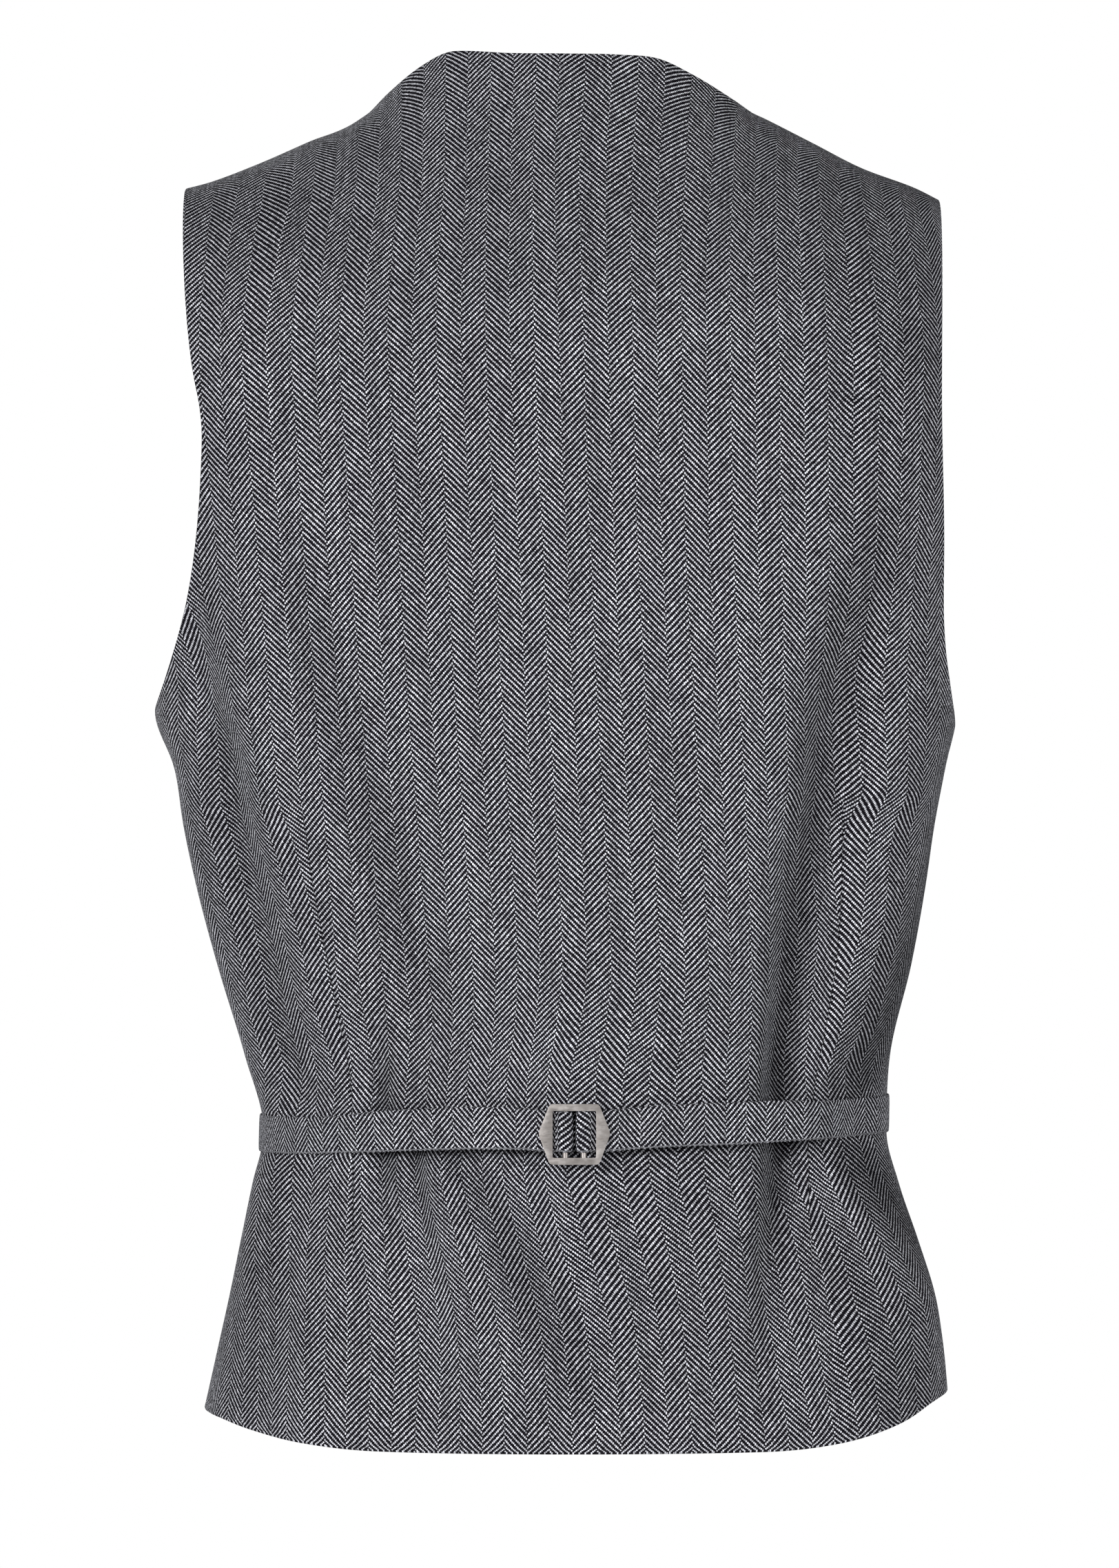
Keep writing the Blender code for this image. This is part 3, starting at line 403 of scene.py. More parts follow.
# Yarns, spun of two shades: how much finer their fibres are across the cloth and along it, and their
# layer of the noise, where it turns from one shade to the other, and the two shades
LIGHT_YARN = ((1.8, 0.55, 0.0), (0.25, 0.75), (0.65, 0.66, 0.715, 1.0), (0.90, 0.91, 0.975, 1.0))
DARK_YARN = ((0.5, 1.6, 3.0), (0.3, 0.8), (0.005, 0.0045, 0.007, 1.0), (0.02, 0.018, 0.024, 1.0))

# Other finishes
PEWTER = ((0.47, 0.435, 0.415, 1.0), (0.67, 0.63, 0.61, 1.0))
HORN = ((0.014, 0.012, 0.012, 1.0), (0.06, 0.035, 0.02, 1.0))
CAST_RELIEF = 0.08

# Studio, in metres: the camera's place, the height of its frame at the body's middle, and the lights
CAMERA_PLACE = (0.00235, 3.0, -0.2851)
FRAME_HEIGHT = 0.6691
SENSOR = 36.0
LIGHTS_AIM = (0.0, 0.0, -0.3)
SOFTBOXES = (
    ("key", (1.35, 2.1, 0.15), 1.0, 39.6),
    ("fill", (-1.9, 1.9, -0.1), 1.4, 26.0),
    ("front", (0.6, -3.2, 0.6), 1.8, 60.0),
)
AMBIENT = 0.1
FLOOR_RADIUS, FLOOR_HEIGHT, FLOOR_FADE = 7.0, -1.42, (0.25, 0.97)
FLOOR_COLOUR = (0.86, 0.86, 0.86, 1.0)
WHITE = (1.0, 1.0, 1.0, 1.0)


def through(knots, values, at):
    """A smooth curve through a table's values, read at the places `at`, with no overshoot."""
    steps = np.diff(values) / np.diff(knots)
    before, after = np.append(steps[0], steps), np.append(steps, steps[-1])
    most = 3 * np.minimum(abs(before), abs(after))
    slopes = np.where(before * after > 0, np.clip(np.gradient(values, knots), -most, most), 0.0)
    at = np.clip(at, knots[0], knots[-1])
    k = np.clip(np.searchsorted(knots, at, side="right") - 1, 0, len(knots) - 2)
    span = knots[k + 1] - knots[k]
    t = (at - knots[k]) / span
    rise = values[k + 1] - values[k]
    start, end = slopes[k] * span, slopes[k + 1] * span
    return values[k] + start * t + (3 * rise - 2 * start - end) * t**2 + (start + end - 2 * rise) * t**3


def read(table, name, at):
    """A table's named column at the places `at` on its first column. Its first row has the names."""
    columns, *rows = table
    values = np.array(rows, float)
    return through(values[:, 0], values[:, columns.index(name)], at)


def ease(low, high, at):
    """0 below low, 1 above high and a smooth step between."""
    t = np.clip((np.asarray(at, float) - low) / (high - low), 0.0, 1.0)
    return t * t * (3 - 2 * t)


def between(start, end, at):
    """1 between two stretches, 0 outside them, and a smooth step over each."""
    return ease(*start, at) * (1 - ease(*end, at))


def unit(vectors):
    return vectors / np.linalg.norm(vectors, axis=-1, keepdims=True)


def torso(angle, height):
    """Points of the garment's outer form at these angles (degrees) and heights."""
    angle, height = np.broadcast_arrays(np.radians(angle), np.asarray(height, float))
    side, depth = np.sin(angle), np.cos(angle)
    half, deep, square, flat = (
        np.where(choice, read(SECTIONS, first, height), read(SECTIONS, second, height))
        for choice, first, second in (
            (side >= 0, "left", "right"),
            (depth >= 0, "back", "front"),
            (True, "square", "square"),
            (depth >= 0, "flat", "square"),
        )
    )
    across = half * side * (1 + square * depth**2)
    return np.stack((across, deep * depth * (1 + flat * side**2), height), axis=-1)


def form_angle(x, height, start=-90, end=90):
    """The angle between these two, on the back unless others are given, at which the form has this x."""
    angles = np.arange(start, end + 1.0)
    xs = torso(angles, height)[:, 0]
    order = np.argsort(xs)
    return float(np.interp(x, xs[order], angles[order]))


def outward(surface, angle, height):
    """A surface's points and its outward normals there, from points a small step away."""
    step = 0.4
    points = surface(angle, height)
    round_body = surface(angle + step, height) - surface(angle - step, height)
    upward = surface(angle, height + step) - surface(angle, height - step)
    return points, unit(np.cross(upward, round_body))


def running_total(steps, axis):
    """Distances from the first place along an axis, from the steps between the places."""
    total = np.cumsum(steps, axis=axis)
    return np.concatenate((np.zeros_like(np.take(total, [0], axis=axis)), total), axis=axis)


STATIONS = np.linspace(-200.0, 200.0, 401)
LEVELS = np.linspace(-600.0, CAP, 161)
FORM = torso(STATIONS[None, :], LEVELS[:, None])
ROUND_FORM = running_total(np.linalg.norm(np.diff(FORM, axis=1), axis=-1), 1)
UP_FORM = running_total(np.linalg.norm(np.diff(FORM, axis=0), axis=-1), 0)


def on_form(table, angle, height):
    """A table with a row for each of LEVELS and a column for each of STATIONS, read between them."""
    row = np.clip((height - LEVELS[0]) / (LEVELS[1] - LEVELS[0]), 0, len(LEVELS) - 1.001)
    place = np.clip((angle - STATIONS[0]) / (STATIONS[1] - STATIONS[0]), 0, len(STATIONS) - 1.001)
    r, c = row.astype(int), place.astype(int)
    up, along = row - r, place - c
    low = table[r, c] * (1 - along) + table[r, c + 1] * along
    high = table[r + 1, c] * (1 - along) + table[r + 1, c + 1] * along
    return low * (1 - up) + high * up


def way_round(angle, height, start=0.0):
    """The way round the form to these angles, from the angle `start` and along level lines."""
    angle, height, start = np.broadcast_arrays(angle, height, start)
    return on_form(ROUND_FORM, angle, height) - on_form(ROUND_FORM, start, height)


def way_up(angle, height):
    """The way up the form from the waist to these heights, at fixed angles."""
    angle, height, waist = np.broadcast_arrays(angle, height, WAIST)
    return on_form(UP_FORM, angle, height) - on_form(UP_FORM, angle, waist)


def turned_in(height, arc, gather):
    """How much cloth a gather hides up to each place, positive or negative as its side is."""
    line, taken, reach = (read(gather, name, height) for name in ("arc", "taken", "reach"))
    side = np.sign(line)
    return side * taken * (1 + np.tanh(side * (arc - line) / reach)) / 2


def more_cloth(height, arc):
    """How much more cloth than body there is between the centre column and each place."""
    knots = np.array(list(GRAIN_ARCS.values()))
    values = np.stack([
        read(GRAIN, name, height) if name in GRAIN[0] else np.zeros_like(height) for name in GRAIN_ARCS
    ])
    k = np.clip(np.searchsorted(knots, arc, side="right") - 1, 0, len(knots) - 2)
    low, high = (np.take_along_axis(values, k[None] + step, axis=0)[0] for step in (0, 1))
    share = (arc - knots[k]) / (knots[k + 1] - knots[k])
    return low + (high - low) * share


def along_weft(height, arc):
    """Where each place of the back lies across its cloth, from the centre column."""
    place = arc - read(GRAIN, "centre", height) + more_cloth(height, arc)
    return place + sum(turned_in(height, arc, gather) for gather in GATHERS.values())


def dart_line(height, arc):
    """How far each place lies past the nearer dart, towards the side, and what it takes in there."""
    side = np.where(arc > 0, 1, -1)
    line, taken = (
        np.where(arc > 0, *(read(DARTS[dart], name, height) for dart in ("left", "right")))
        for name in ("arc", "taken")
    )
    return side * (arc - line), side * taken


def fold_path(fold):
    """A few points on the form along a front fold's line."""
    x_top, top, x_foot, foot, bow = fold[:5]
    front = (90, 180) if x_top > 0 else (-180, -90)
    shares = np.linspace(0.0, 1.0, FOLD_STATIONS)
    xs = x_top + (x_foot - x_top) * shares + 4 * bow * shares * (1 - shares)
    heights = top + (foot - top) * shares
    return np.array([torso(form_angle(x, z, *front), z) for x, z in zip(xs, heights)])


def nearest_on_path(points, path):
    """How far each point lies from a line of short stretches, and how far along the line that is."""
    nearest = np.full(points.shape[:-1], np.inf)
    along = np.zeros(points.shape[:-1])
    for k, (start, end) in enumerate(zip(path, path[1:])):
        run = end - start
        share = np.clip((points - start) @ run / (run @ run), 0.0, 1.0)
        gap = np.linalg.norm(points - start - share[..., None] * run, axis=-1)
        along = np.where(gap < nearest, (k + share) / (len(path) - 1), along)
        nearest = np.minimum(nearest, gap)
    return nearest, along


def fold_lift(points, folds):
    """How far the soft folds lift points off the form. Each fades in and out along its line."""
    lift = np.zeros(points.shape[:-1])
    for fold in folds:
        half_width, depth = fold[-2:]
        gap, along = nearest_on_path(points, fold_path(fold))
        faded = np.sin(math.pi * (FOLD_FADE + (1 - 2 * FOLD_FADE) * along)) ** 0.8
        lift += depth * np.exp(-((gap / half_width) ** 2)) * faded
    return lift


def gather_lift(height, arc):
    """The troughs of the gathers."""
    lift = np.zeros_like(arc)
    for gather in GATHERS.values():
        past = (arc - read(gather, "arc", height)) / (GATHER_WIDTH * read(gather, "reach", height))
        lift -= read(gather, "depth", height) * np.exp(-(past**2))
    return lift


def seam_lift(height, arc):
    """The darts' seams sink a little, and the cloth rises beside them."""
    past, taken = dart_line(height, arc)
    depth = np.clip(np.abs(taken) / DEEP_DART, 0.0, 1.0)
    rise, sink = (size * np.exp(-((past / reach) ** 2)) for size, reach in (SEAM_RISE, SEAM_SINK))
    return depth * (rise - sink)


def ripple(points, seed):
    """A low, slow unevenness of worn cloth."""
    x, y, z = np.moveaxis(points, -1, 0)
    total = np.zeros_like(x)
    for height, across, up, phase in RIPPLES:
        total += height * np.sin((x + RIPPLE_SLANT * y) / across + z / up + phase + seed)
    return total


def back_folds(x, height, names=tuple(BACK_FOLDS)):
    """How far these folds of the back move it, straight back or, as a negative number, forward."""
    moved = np.zeros(np.broadcast(x, height).shape)
    for fold in (BACK_FOLDS[name] for name in names):
        off_line = (x - read(fold, "x", height)) / read(fold, "half_width", height)
        moved += read(fold, "depth", height) * np.exp(-(off_line**2))
    return moved


def under_belt(x, height):
    """How far the belts press the back in."""
    level = np.exp(-(((height - PRESS_LINE) / PRESS_REACH) ** 2))
    return -PRESS_DEPTH * level * between(PRESS_FROM, PRESS_TO, x)


def back_surface(angle, height):
    """The back panel's outer face below the cap: the form with its gathers and folds."""
    points, normals = outward(torso, angle, height)
    arc = way_round(angle, height)
    uneven = ripple(points, 0.0) * (1 - np.exp(-(((height - BELT_LINE) / BELT_CALM) ** 2)))
    lift = gather_lift(height, arc) + (seam_lift(height, arc) + uneven) * ease(*NEAR_CAP, height)
    moved = back_folds(points[..., 0], height) + under_belt(points[..., 0], height)
    moved *= 1 - ease(*FOLDS_END, np.abs(angle))
    return points + normals * lift[..., None] + moved[..., None] * (0.0, 1.0, 0.0)


def front_surface(side):
    """A front's outer face below the cap. The right one steps in where the left one laps over it."""
    folds = [np.array((side, 1, side, 1, side, 1, 1)) * fold for fold in FRONT_FOLDS]

    def surface(angle, height):
        points, normals = outward(torso, angle, height)
        lift = fold_lift(points, folds) + ripple(points, 2.0 + side)
        lift = lift * ease(*PLAIN_FRONT, side * points[..., 0]) * ease(*NEAR_CAP, height)
        if side < 0:
            below_v = 1 - ease(*LAP_HEIGHTS, points[..., 2])
            lift = lift - LAP_STEP * ease(*LAP_FADE, points[..., 0]) * below_v
        return points + normals * lift[..., None]

    return surface


def row_heights(levels, counts, powers):
    """Heights of the rows between levels, each level a height for every column."""
    rows = []
    for low, high, count, power in zip(levels, levels[1:], counts, powers):
        rows += [low + (high - low) * (step / count) ** power for step in range(count)]
    return np.array(rows + [levels[-1]])


def painted_shadow_below_belts(x, height):
    """How much darker the back is painted right under the belts' lower edges, where they are free of it: a
    painted shadow.
    """
    edges = [read(BELTS[side], "middle", x) - read(BELTS[side], "height", x) / 2 for side in (1, -1)]
    below = (np.where(x > BUCKLE_X, *edges) - height) / PAINTED_BELT_FOOT_SHADOW_REACH
    shade = np.where(below > 0, np.exp(-(below**2)), ease(-1.0, 0.0, below))
    return PAINTED_BELT_FOOT_SHADOW * shade * between(PRESS_FROM, PRESS_TO, x)


def half_gap_angle(reach):
    """Half a seam's gap as an angle, at this distance from the middle."""
    return math.degrees(SEAM_GAP / 2 / reach)


def armhole_angle(edge, height, underarm):
    """The angle of an armhole's edge, which is the side seam's below the underarm."""
    top_angle, roundness, flare = ARMHOLES[edge]
    share = np.clip((height - underarm) / (CAP - underarm), 0.0, 1.0)
    turned = (1 - (1 - share) ** roundness) ** (1 / roundness)
    flared = flare * (np.clip(share - FLARE_FROM, 0.0, 1.0) / (1 - FLARE_FROM)) ** 2
    return SIDE_SEAM + (top_angle - SIDE_SEAM) * turned + flared


def ribs(first, rise, last, arriving, lean, steps):
    """Rows that carry a panel from its cap level over to its top edge.

    Each rib leaves along `rise`, turns forward over the shoulder blades and arrives in the direction
    `arriving`, flat on top where its lean is 90 degrees.
    """
    turn = np.sin(np.radians(lean))[:, None] ** 2
    leaving = rise * CAP_RISE
    reach = np.linalg.norm(last - first, axis=-1, keepdims=True)
    arriving = arriving * reach * (ARRIVING[0] + (ARRIVING[1] - ARRIVING[0]) * turn)
    t = (np.arange(1, steps + 1) / steps)[:, None, None]
    return (
        (2 * t**3 - 3 * t**2 + 1) * first
        + (t**3 - 2 * t**2 + t) * leaving
        + (3 * t**2 - 2 * t**3) * last
        + (t**3 - t**2) * arriving
    )


def top_edge(across):
    """Points of the neckline and the shoulder seams, and the lean of the cloth there."""
    x, y, height, lean = (read(TOP_EDGE, name, across) for name in TOP_EDGE[0][1:])
    return np.stack((x, y, height), axis=-1), lean


def with_cap(surface, angles, heights, steps, last, arriving, lean):
    """A panel's grid: its surface up to the cap level, then ribs to its top edge."""
    body = surface(angles, heights)
    rise = body[-1] - surface(angles[-1] + 0.1 * (angles[-4] - angles[-1]), heights[-1] - 1.0)
    return np.concatenate((body, ribs(body[-1], rise / rise[..., 2:], last, arriving, lean, steps)))


def way_up_grid(grid, angles, heights):
    """How far up its cloth each of a panel's points lies, along the form and over its cap."""
    body = way_up(angles, heights)
    above = np.linalg.norm(np.diff(grid[len(heights) - 1 :], axis=0), axis=-1)
    return np.concatenate((body, body[-1] + np.cumsum(above, axis=0)))


def over_cap(places, grid):
    """Carries the cap row's places on to the ribs above it, by how far to the side each point lies."""
    cap_row = len(places) - 1
    order = np.argsort(grid[cap_row, :, 0])
    xs, at_cap = grid[cap_row, order, 0], places[cap_row, order]
    first_rate = (at_cap[1] - at_cap[0]) / (xs[1] - xs[0])
    last_rate = (at_cap[-1] - at_cap[-2]) / (xs[-1] - xs[-2])
    x = grid[len(places) :, :, 0]
    beyond = np.minimum(x - xs[0], 0) * first_rate + np.maximum(x - xs[-1], 0) * last_rate
    return np.concatenate((places, np.interp(x, xs, at_cap) + beyond))


def back_panel():
    """The back's points, rows from hem to neck, and what its weave needs to know of each."""
    across = np.linspace(-1.0, 1.0, BACK_COLUMNS + 1)
    share, on_left = np.abs(across), across >= 0
    hem = np.where(on_left, read(BACK_HEM, "left", share), read(BACK_HEM, "right", share))
    underarm = UNDERARM_RIGHT + (UNDERARM_LEFT - UNDERARM_RIGHT) * (across + 1) / 2
    level = np.ones_like(across)
    dipped = underarm - UNDERARM_DIP * (1 - share**4)
    levels = (hem, BELT_FOOT * level, BELT_HEAD * level, dipped, CAP * level)
    eased = 1 + (UNDERARM_EASE - 1) * share**6
    heights = row_heights(levels, BACK_ROWS[:4], (1, 1, 1, eased))
    left_edge = armhole_angle("back_left", heights[:, -1:], UNDERARM_LEFT)
    right_edge = armhole_angle("back_right", heights[:, :1], UNDERARM_RIGHT)
    edges = np.where(on_left, left_edge, right_edge) - half_gap_angle(SEAM_REACH)
    angles = across * SIDE_SEAM - across * share * (SIDE_SEAM - edges)
    last, lean = top_edge(across)
    arriving = np.stack((0 * lean, -np.sin(np.radians(lean)), np.cos(np.radians(lean))), axis=-1)
    last = last + (0, SEAM_GAP / 2, 0)
    grid = with_cap(back_surface, angles, heights, BACK_ROWS[4], last, arriving, lean)
    arcs = over_cap(way_round(angles, heights), grid)
    level_of = np.concatenate((heights, grid[len(heights) :, :, 2]))
    past, taken = dart_line(level_of, arcs)
    turned = np.maximum(way_round(angles, heights, LEFT_TURN), 0.0)
    widened = over_cap(LEFT_EASE * turned**2 / (turned + LEFT_SOFT), grid)
    # painted shade: darker in the fold troughs by their depth, and a painted shadow right under the belts'
    # free lower edges
    shade_in_folds = sum(-rate * back_folds(grid[..., 0], level_of, (name,)) for name, rate in PAINTED_FOLD_SHADE.items())
    lit = (1 - np.minimum(shade_in_folds, MOST_FOLD_SHADE_PAINTED)) * (1 - painted_shadow_below_belts(grid[..., 0], level_of))
    return grid, {
        "u": along_weft(level_of, arcs) - widened,
        "v": way_up_grid(grid, angles, heights),
        "past_dart": past,
        "taken_in": taken,
        # painted shade of folds, belt edges and yoke together
        "dimmed": 1 - lit * (1 - PAINTED_YOKE_SHADE * between(YOKE, NAPE, level_of)),
    }


def front_edge_angle(side, height):
    """The angle of a front's free edge, past 180 degrees where it laps over the centre line."""
    half = read(SECTIONS, "left" if side > 0 else "right", height)
    reach = half * (1 + read(SECTIONS, "square", height))
    return 180.0 - np.degrees(np.arcsin(read(FRONT_EDGE, "x", height) / reach))


def front_panel(side):
    """A front's points, side +1 for the left one, and what its weave needs to know of each."""
    inward = np.linspace(0.0, 1.0, FRONT_COLUMNS + 1)
    hem_side = read(BACK_HEM, "left" if side > 0 else "right", 1.0)
    hem = np.interp(inward, (0, FRONT_POINT_SHARE, 1), (hem_side, FRONT_POINT, FRONT_EDGE_HEM))
    underarm = UNDERARM_LEFT if side > 0 else UNDERARM_RIGHT
    level = np.ones_like(inward)
    dipped = underarm - UNDERARM_DIP * (1 - (1 - inward) ** 4)
    dipped += (V_BOTTOM - dipped[-1]) * inward**4
    eased = 1 + (UNDERARM_EASE - 1) * (1 - inward) ** 6
    levels = (hem, WAIST * level, dipped, CAP * level)
    heights = row_heights(levels, FRONT_ROWS[:3], (1, 1, eased))
    side_edge = armhole_angle("front", heights[:, 0], underarm) + half_gap_angle(SEAM_REACH)
    free_edge = front_edge_angle(side, heights[:, -1])
    armhole = (side_edge - side_edge[0])[:, None] * (1 - inward) ** 2
    cut_away = (free_edge - free_edge[0])[:, None] * inward**2
    angles = side * (side_edge[0] + (free_edge[0] - side_edge[0]) * inward + armhole + cut_away)
    last = top_edge(side * (1 - inward * (1 - NECK_POINT)))[0] - (0, SEAM_GAP / 2, 0)
    arriving = np.broadcast_to((0.0, 1.0, 0.0), last.shape)
    grid = with_cap(front_surface(side), angles, heights, FRONT_ROWS[3], last, arriving, 90.0 * level)
    places = {
        "u": over_cap(way_round(angles, heights, side * 180.0), grid),
        "v": way_up_grid(grid, angles, heights),
    }
    if side < 0:
        return grid[:, ::-1], {name: values[:, ::-1] for name, values in places.items()}
    return grid, places


def grid_normals(grid):
    """Outward normals of a grid whose rows run up and whose columns run round by rising angle."""
    return unit(np.cross(np.gradient(grid, axis=0), np.gradient(grid, axis=1)))


def boundary(rows, columns):
    """A grid's boundary places, once round, as numbers of its points."""
    places = np.arange(rows * columns).reshape(rows, columns)
    return np.concatenate((places[0, :-1], places[:-1, -1], places[-1, :0:-1], places[:0:-1, 0]))


def shell(grid):
    """A cloth wall inwards from a grid of outer points, with a rounded edge all round.

    Returns its points, its faces and, for each point, the grid point that it belongs to.
    """
    rows, columns = grid.shape[:2]
    count = rows * columns
    outer, normals = grid.reshape(-1, 3).copy(), grid_normals(grid).reshape(-1, 3)
    ring = boundary(rows, columns)
    ahead = unit(np.roll(outer[ring], -1, axis=0) - np.roll(outer[ring], 1, axis=0))
    outwards = unit(np.cross(ahead, -normals[ring]))
    outer[ring] -= outwards * EDGE_ROUNDING
    inner = outer - normals * CLOTH
    middle = (outer[ring] + inner[ring]) / 2
    rim = [
        middle + normals[ring] * CLOTH / 2 * math.cos(turn) + outwards * EDGE_ROUNDING * math.sin(turn)
        for turn in np.linspace(0.0, math.pi, RIM_STEPS + 1)[1:-1]
    ]
    here = (np.arange(rows - 1)[:, None] * columns + np.arange(columns - 1)).ravel()
    outer_faces = np.stack((here, here + columns, here + columns + 1, here + 1), axis=1)
    on_rim = [2 * count + k * len(ring) + np.arange(len(ring)) for k in range(len(rim))]
    rings = [ring, *on_rim, ring + count]
    rim_faces = [
        np.stack((high, np.roll(high, -1), np.roll(low, -1), low), axis=1)
        for high, low in zip(rings, rings[1:])
    ]
    faces = np.concatenate((outer_faces, outer_faces[:, ::-1] + count, *rim_faces))
    belongs = np.concatenate((np.arange(count), np.arange(count), *([ring] * len(rim))))
    return np.concatenate((outer, inner, *rim)), faces, belongs


def add_object(name, data):
    obj = bpy.data.objects.new(name, data)
    bpy.context.scene.collection.objects.link(obj)
    return obj


def make_mesh(name, points, faces, material, u, v, **attributes):
    """An object from points in millimetres, with its weave's u and v as a UV map."""
    mesh = bpy.data.meshes.new(name)
    mesh.from_pydata((points * MM).tolist(), [], [list(face) for face in faces])
    corners = np.empty(len(mesh.loops), int)
    mesh.loops.foreach_get("vertex_index", corners)
    uv = np.stack((u, v), axis=1)[corners]
    mesh.uv_layers.new(name=CLOTH_MAP).data.foreach_set("uv", uv.ravel())
    for extra, values in attributes.items():
        mesh.attributes.new(extra, "FLOAT", "POINT").data.foreach_set("value", values)
    mesh.shade_smooth()
    mesh.materials.append(material)
    return add_object(name, mesh)


def make_panel(name, grid, places, material):
    points, faces, belongs = shell(grid)
    of_points = {key: values.ravel()[belongs] for key, values in places.items()}
    return make_mesh(name, points, faces, material, **of_points)


def buckle_depth():
    """Where the frame's inner face lies, in Y."""
    return float(torso(form_angle(BUCKLE_X, BUCKLE_HEIGHT), BUCKLE_HEIGHT)[1]) + BUCKLE_LIFT


def belt_loop(side):
    """Where a half belt runs, in X and Y, from the lobe round its bar to the end of its tail."""
    reach = BAR_RADIUS + BAR_GAP + BELT_CLOTH / 2
    under_lobe = -LYING_GAP - BELT_CLOTH / 2
    route = [(out, under_lobe + rise) for out, rise in ROUTE_TO_BAR]
    for turn in np.radians(np.linspace(*LOOP_TURN, LOOP_STEPS + 1)):
        route.append((BAR_OFFSET + reach * math.cos(turn), BAR_DEPTH + reach * math.sin(turn)))
    route += [(out, under_lobe + rise) for out, rise in ROUTE_FROM_BAR]
    points = [(BUCKLE_X + side * out, buckle_depth() + depth) for out, depth in route]
    for out in np.linspace(*TAIL, TAIL_STEPS + 1):
        x = BUCKLE_X + side * out
        panel = float(torso(form_angle(x, BUCKLE_HEIGHT), BUCKLE_HEIGHT)[1])
        points.append((x, panel + LYING_GAP + BELT_CLOTH / 2))
    return points


def fullness(x):
    """How much of its thickness a half belt has this far out, pressed thin towards its seam."""
    return 1 - SEWN_THINNER * ease(*SEWN_ENDS, np.abs(x))


def belt_edges(side):
    """Lower and upper edge of a half belt's middle surface, from the side seam to its tail."""
    belt = BELTS[side]
    seam_angle = SIDE_SEAM - half_gap_angle(WAIST_REACH)
    lobe_angle = form_angle(BUCKLE_X + side * (TAIL[1] - 1.0), WAIST)
    angles = np.linspace(side * seam_angle, lobe_angle, BELT_STATIONS)
    xs = torso(angles, WAIST)[:, 0]
    lift = (LYING_GAP + BELT_CLOTH / 2) * fullness(xs) + read(belt, "lift", xs)
    sinks = back_folds(xs, np.full(len(xs), BELT_LINE), BELT_SINKS) * (1 - ease(*FOLDS_END, np.abs(angles)))
    loop = np.array(belt_loop(side))
    middles, widths = (read(belt, name, np.append(xs, loop[:, 0])) for name in ("middle", "height"))
    edges = []
    for edge in (-0.5, 0.5):
        heights = middles + edge * widths
        points, normals = outward(torso, angles, heights[: len(xs)])
        points[:, 1] += sinks
        turned = np.column_stack((loop, heights[len(xs) :]))
        edges.append(np.concatenate((points + normals * lift[:, None], turned)))
    return np.stack(edges)


def smoothed(edges, steps):
    """Both edges of a belt as smooth curves, with more stations, and the way along its middle."""
    middle = edges.mean(axis=0)
    along = running_total(np.linalg.norm(np.diff(middle, axis=0), axis=-1), 0)
    stations = np.arange(len(along))
    fine = np.interp(np.linspace(0, len(along) - 1, steps * (len(along) - 1) + 1), stations, along)
    smooth = [[through(along, edge[:, k], fine) for k in range(3)] for edge in edges]
    return np.moveaxis(np.array(smooth), 1, -1), fine


def belt_section(width, full):
    """A belt's closed section, from its lower edge over its outer face: places across, and heights."""
    face_steps, edge_steps = BELT_SECTION_STEPS
    half, thick = width / 2 - BELT_EDGE_ROUNDING, BELT_CLOTH / 2 * full
    across = np.linspace(-1.0, 1.0, face_steps + 1)
    turns = np.linspace(0.0, math.pi, edge_steps + 1)[1:-1]
    crown = BELT_CROWN * full * (1 - across**4)
    outer = np.column_stack((across * half, thick + crown))
    inner = np.column_stack((-across * half, np.full_like(across, -thick)))
    edge = np.column_stack((half + BELT_EDGE_ROUNDING * np.sin(turns), thick * np.cos(turns)))
    return np.concatenate((outer, edge, inner, -edge))


def make_belt(name, side, material):
    """A half belt of doubled cloth with full edges, looped round its bar."""
    edges, along = smoothed(belt_edges(side), BELT_FINER)
    low, high = edges
    middle = (low + high) / 2
    up = unit(high - low)
    normals = unit(np.cross(np.gradient(middle, axis=0), up)) * side
    widths = np.linalg.norm(high - low, axis=-1)
    sections = np.array([belt_section(*size) for size in zip(widths, fullness(middle[:, 0]))])
    points = middle[:, None] + up[:, None] * sections[..., :1] + normals[:, None] * sections[..., 1:]
    stations, count = sections.shape[:2]
    on_section = np.arange(count)
    first = np.arange(stations - 1)[:, None] * count
    here, beside = (first + on_section).ravel(), (first + (on_section + 1) % count).ravel()
    faces = np.stack((here, beside, beside + count, here + count), axis=1)[:, ::side]
    ends = (on_section[::-side], on_section[::side] + (stations - 1) * count)
    from_loop = (along[np.argmin(abs(middle[:, 0] - BUCKLE_X))] - along) * side
    round_section = running_total(np.linalg.norm(np.diff(sections, axis=1), axis=-1), 1)
    return make_mesh(
        name,
        points.reshape(-1, 3),
        [*faces, *ends],
        material,
        u=np.repeat((from_loop + COLUMN_WIDTH) * COLUMN_WIDTH / BELT_COLUMN_WIDTHS[side], count),
        v=(round_section - widths[:, None] / 2 + middle[:, 2:] - WAIST).ravel(),
    )


def rounded(corners, steps):
    """A closed outline of (x, height) whose corners, (x, height, radius), are arcs."""
    points = []
    for k, (*corner, radius) in enumerate(corners):
        beside = (corners[k - 1], corners[(k + 1) % len(corners)])
        ways = [unit(np.subtract(other[:2], corner)) for other in beside]
        half_angle = math.acos(float(ways[0] @ ways[1])) / 2
        centre = unit(ways[0] + ways[1]) * radius / math.sin(half_angle)
        start, end = (way * radius / math.tan(half_angle) - centre for way in ways)
        for share in np.linspace(0.0, 1.0, steps + 1):
            points.append(corner + centre + unit(start * (1 - share) + end * share) * radius)
    return points


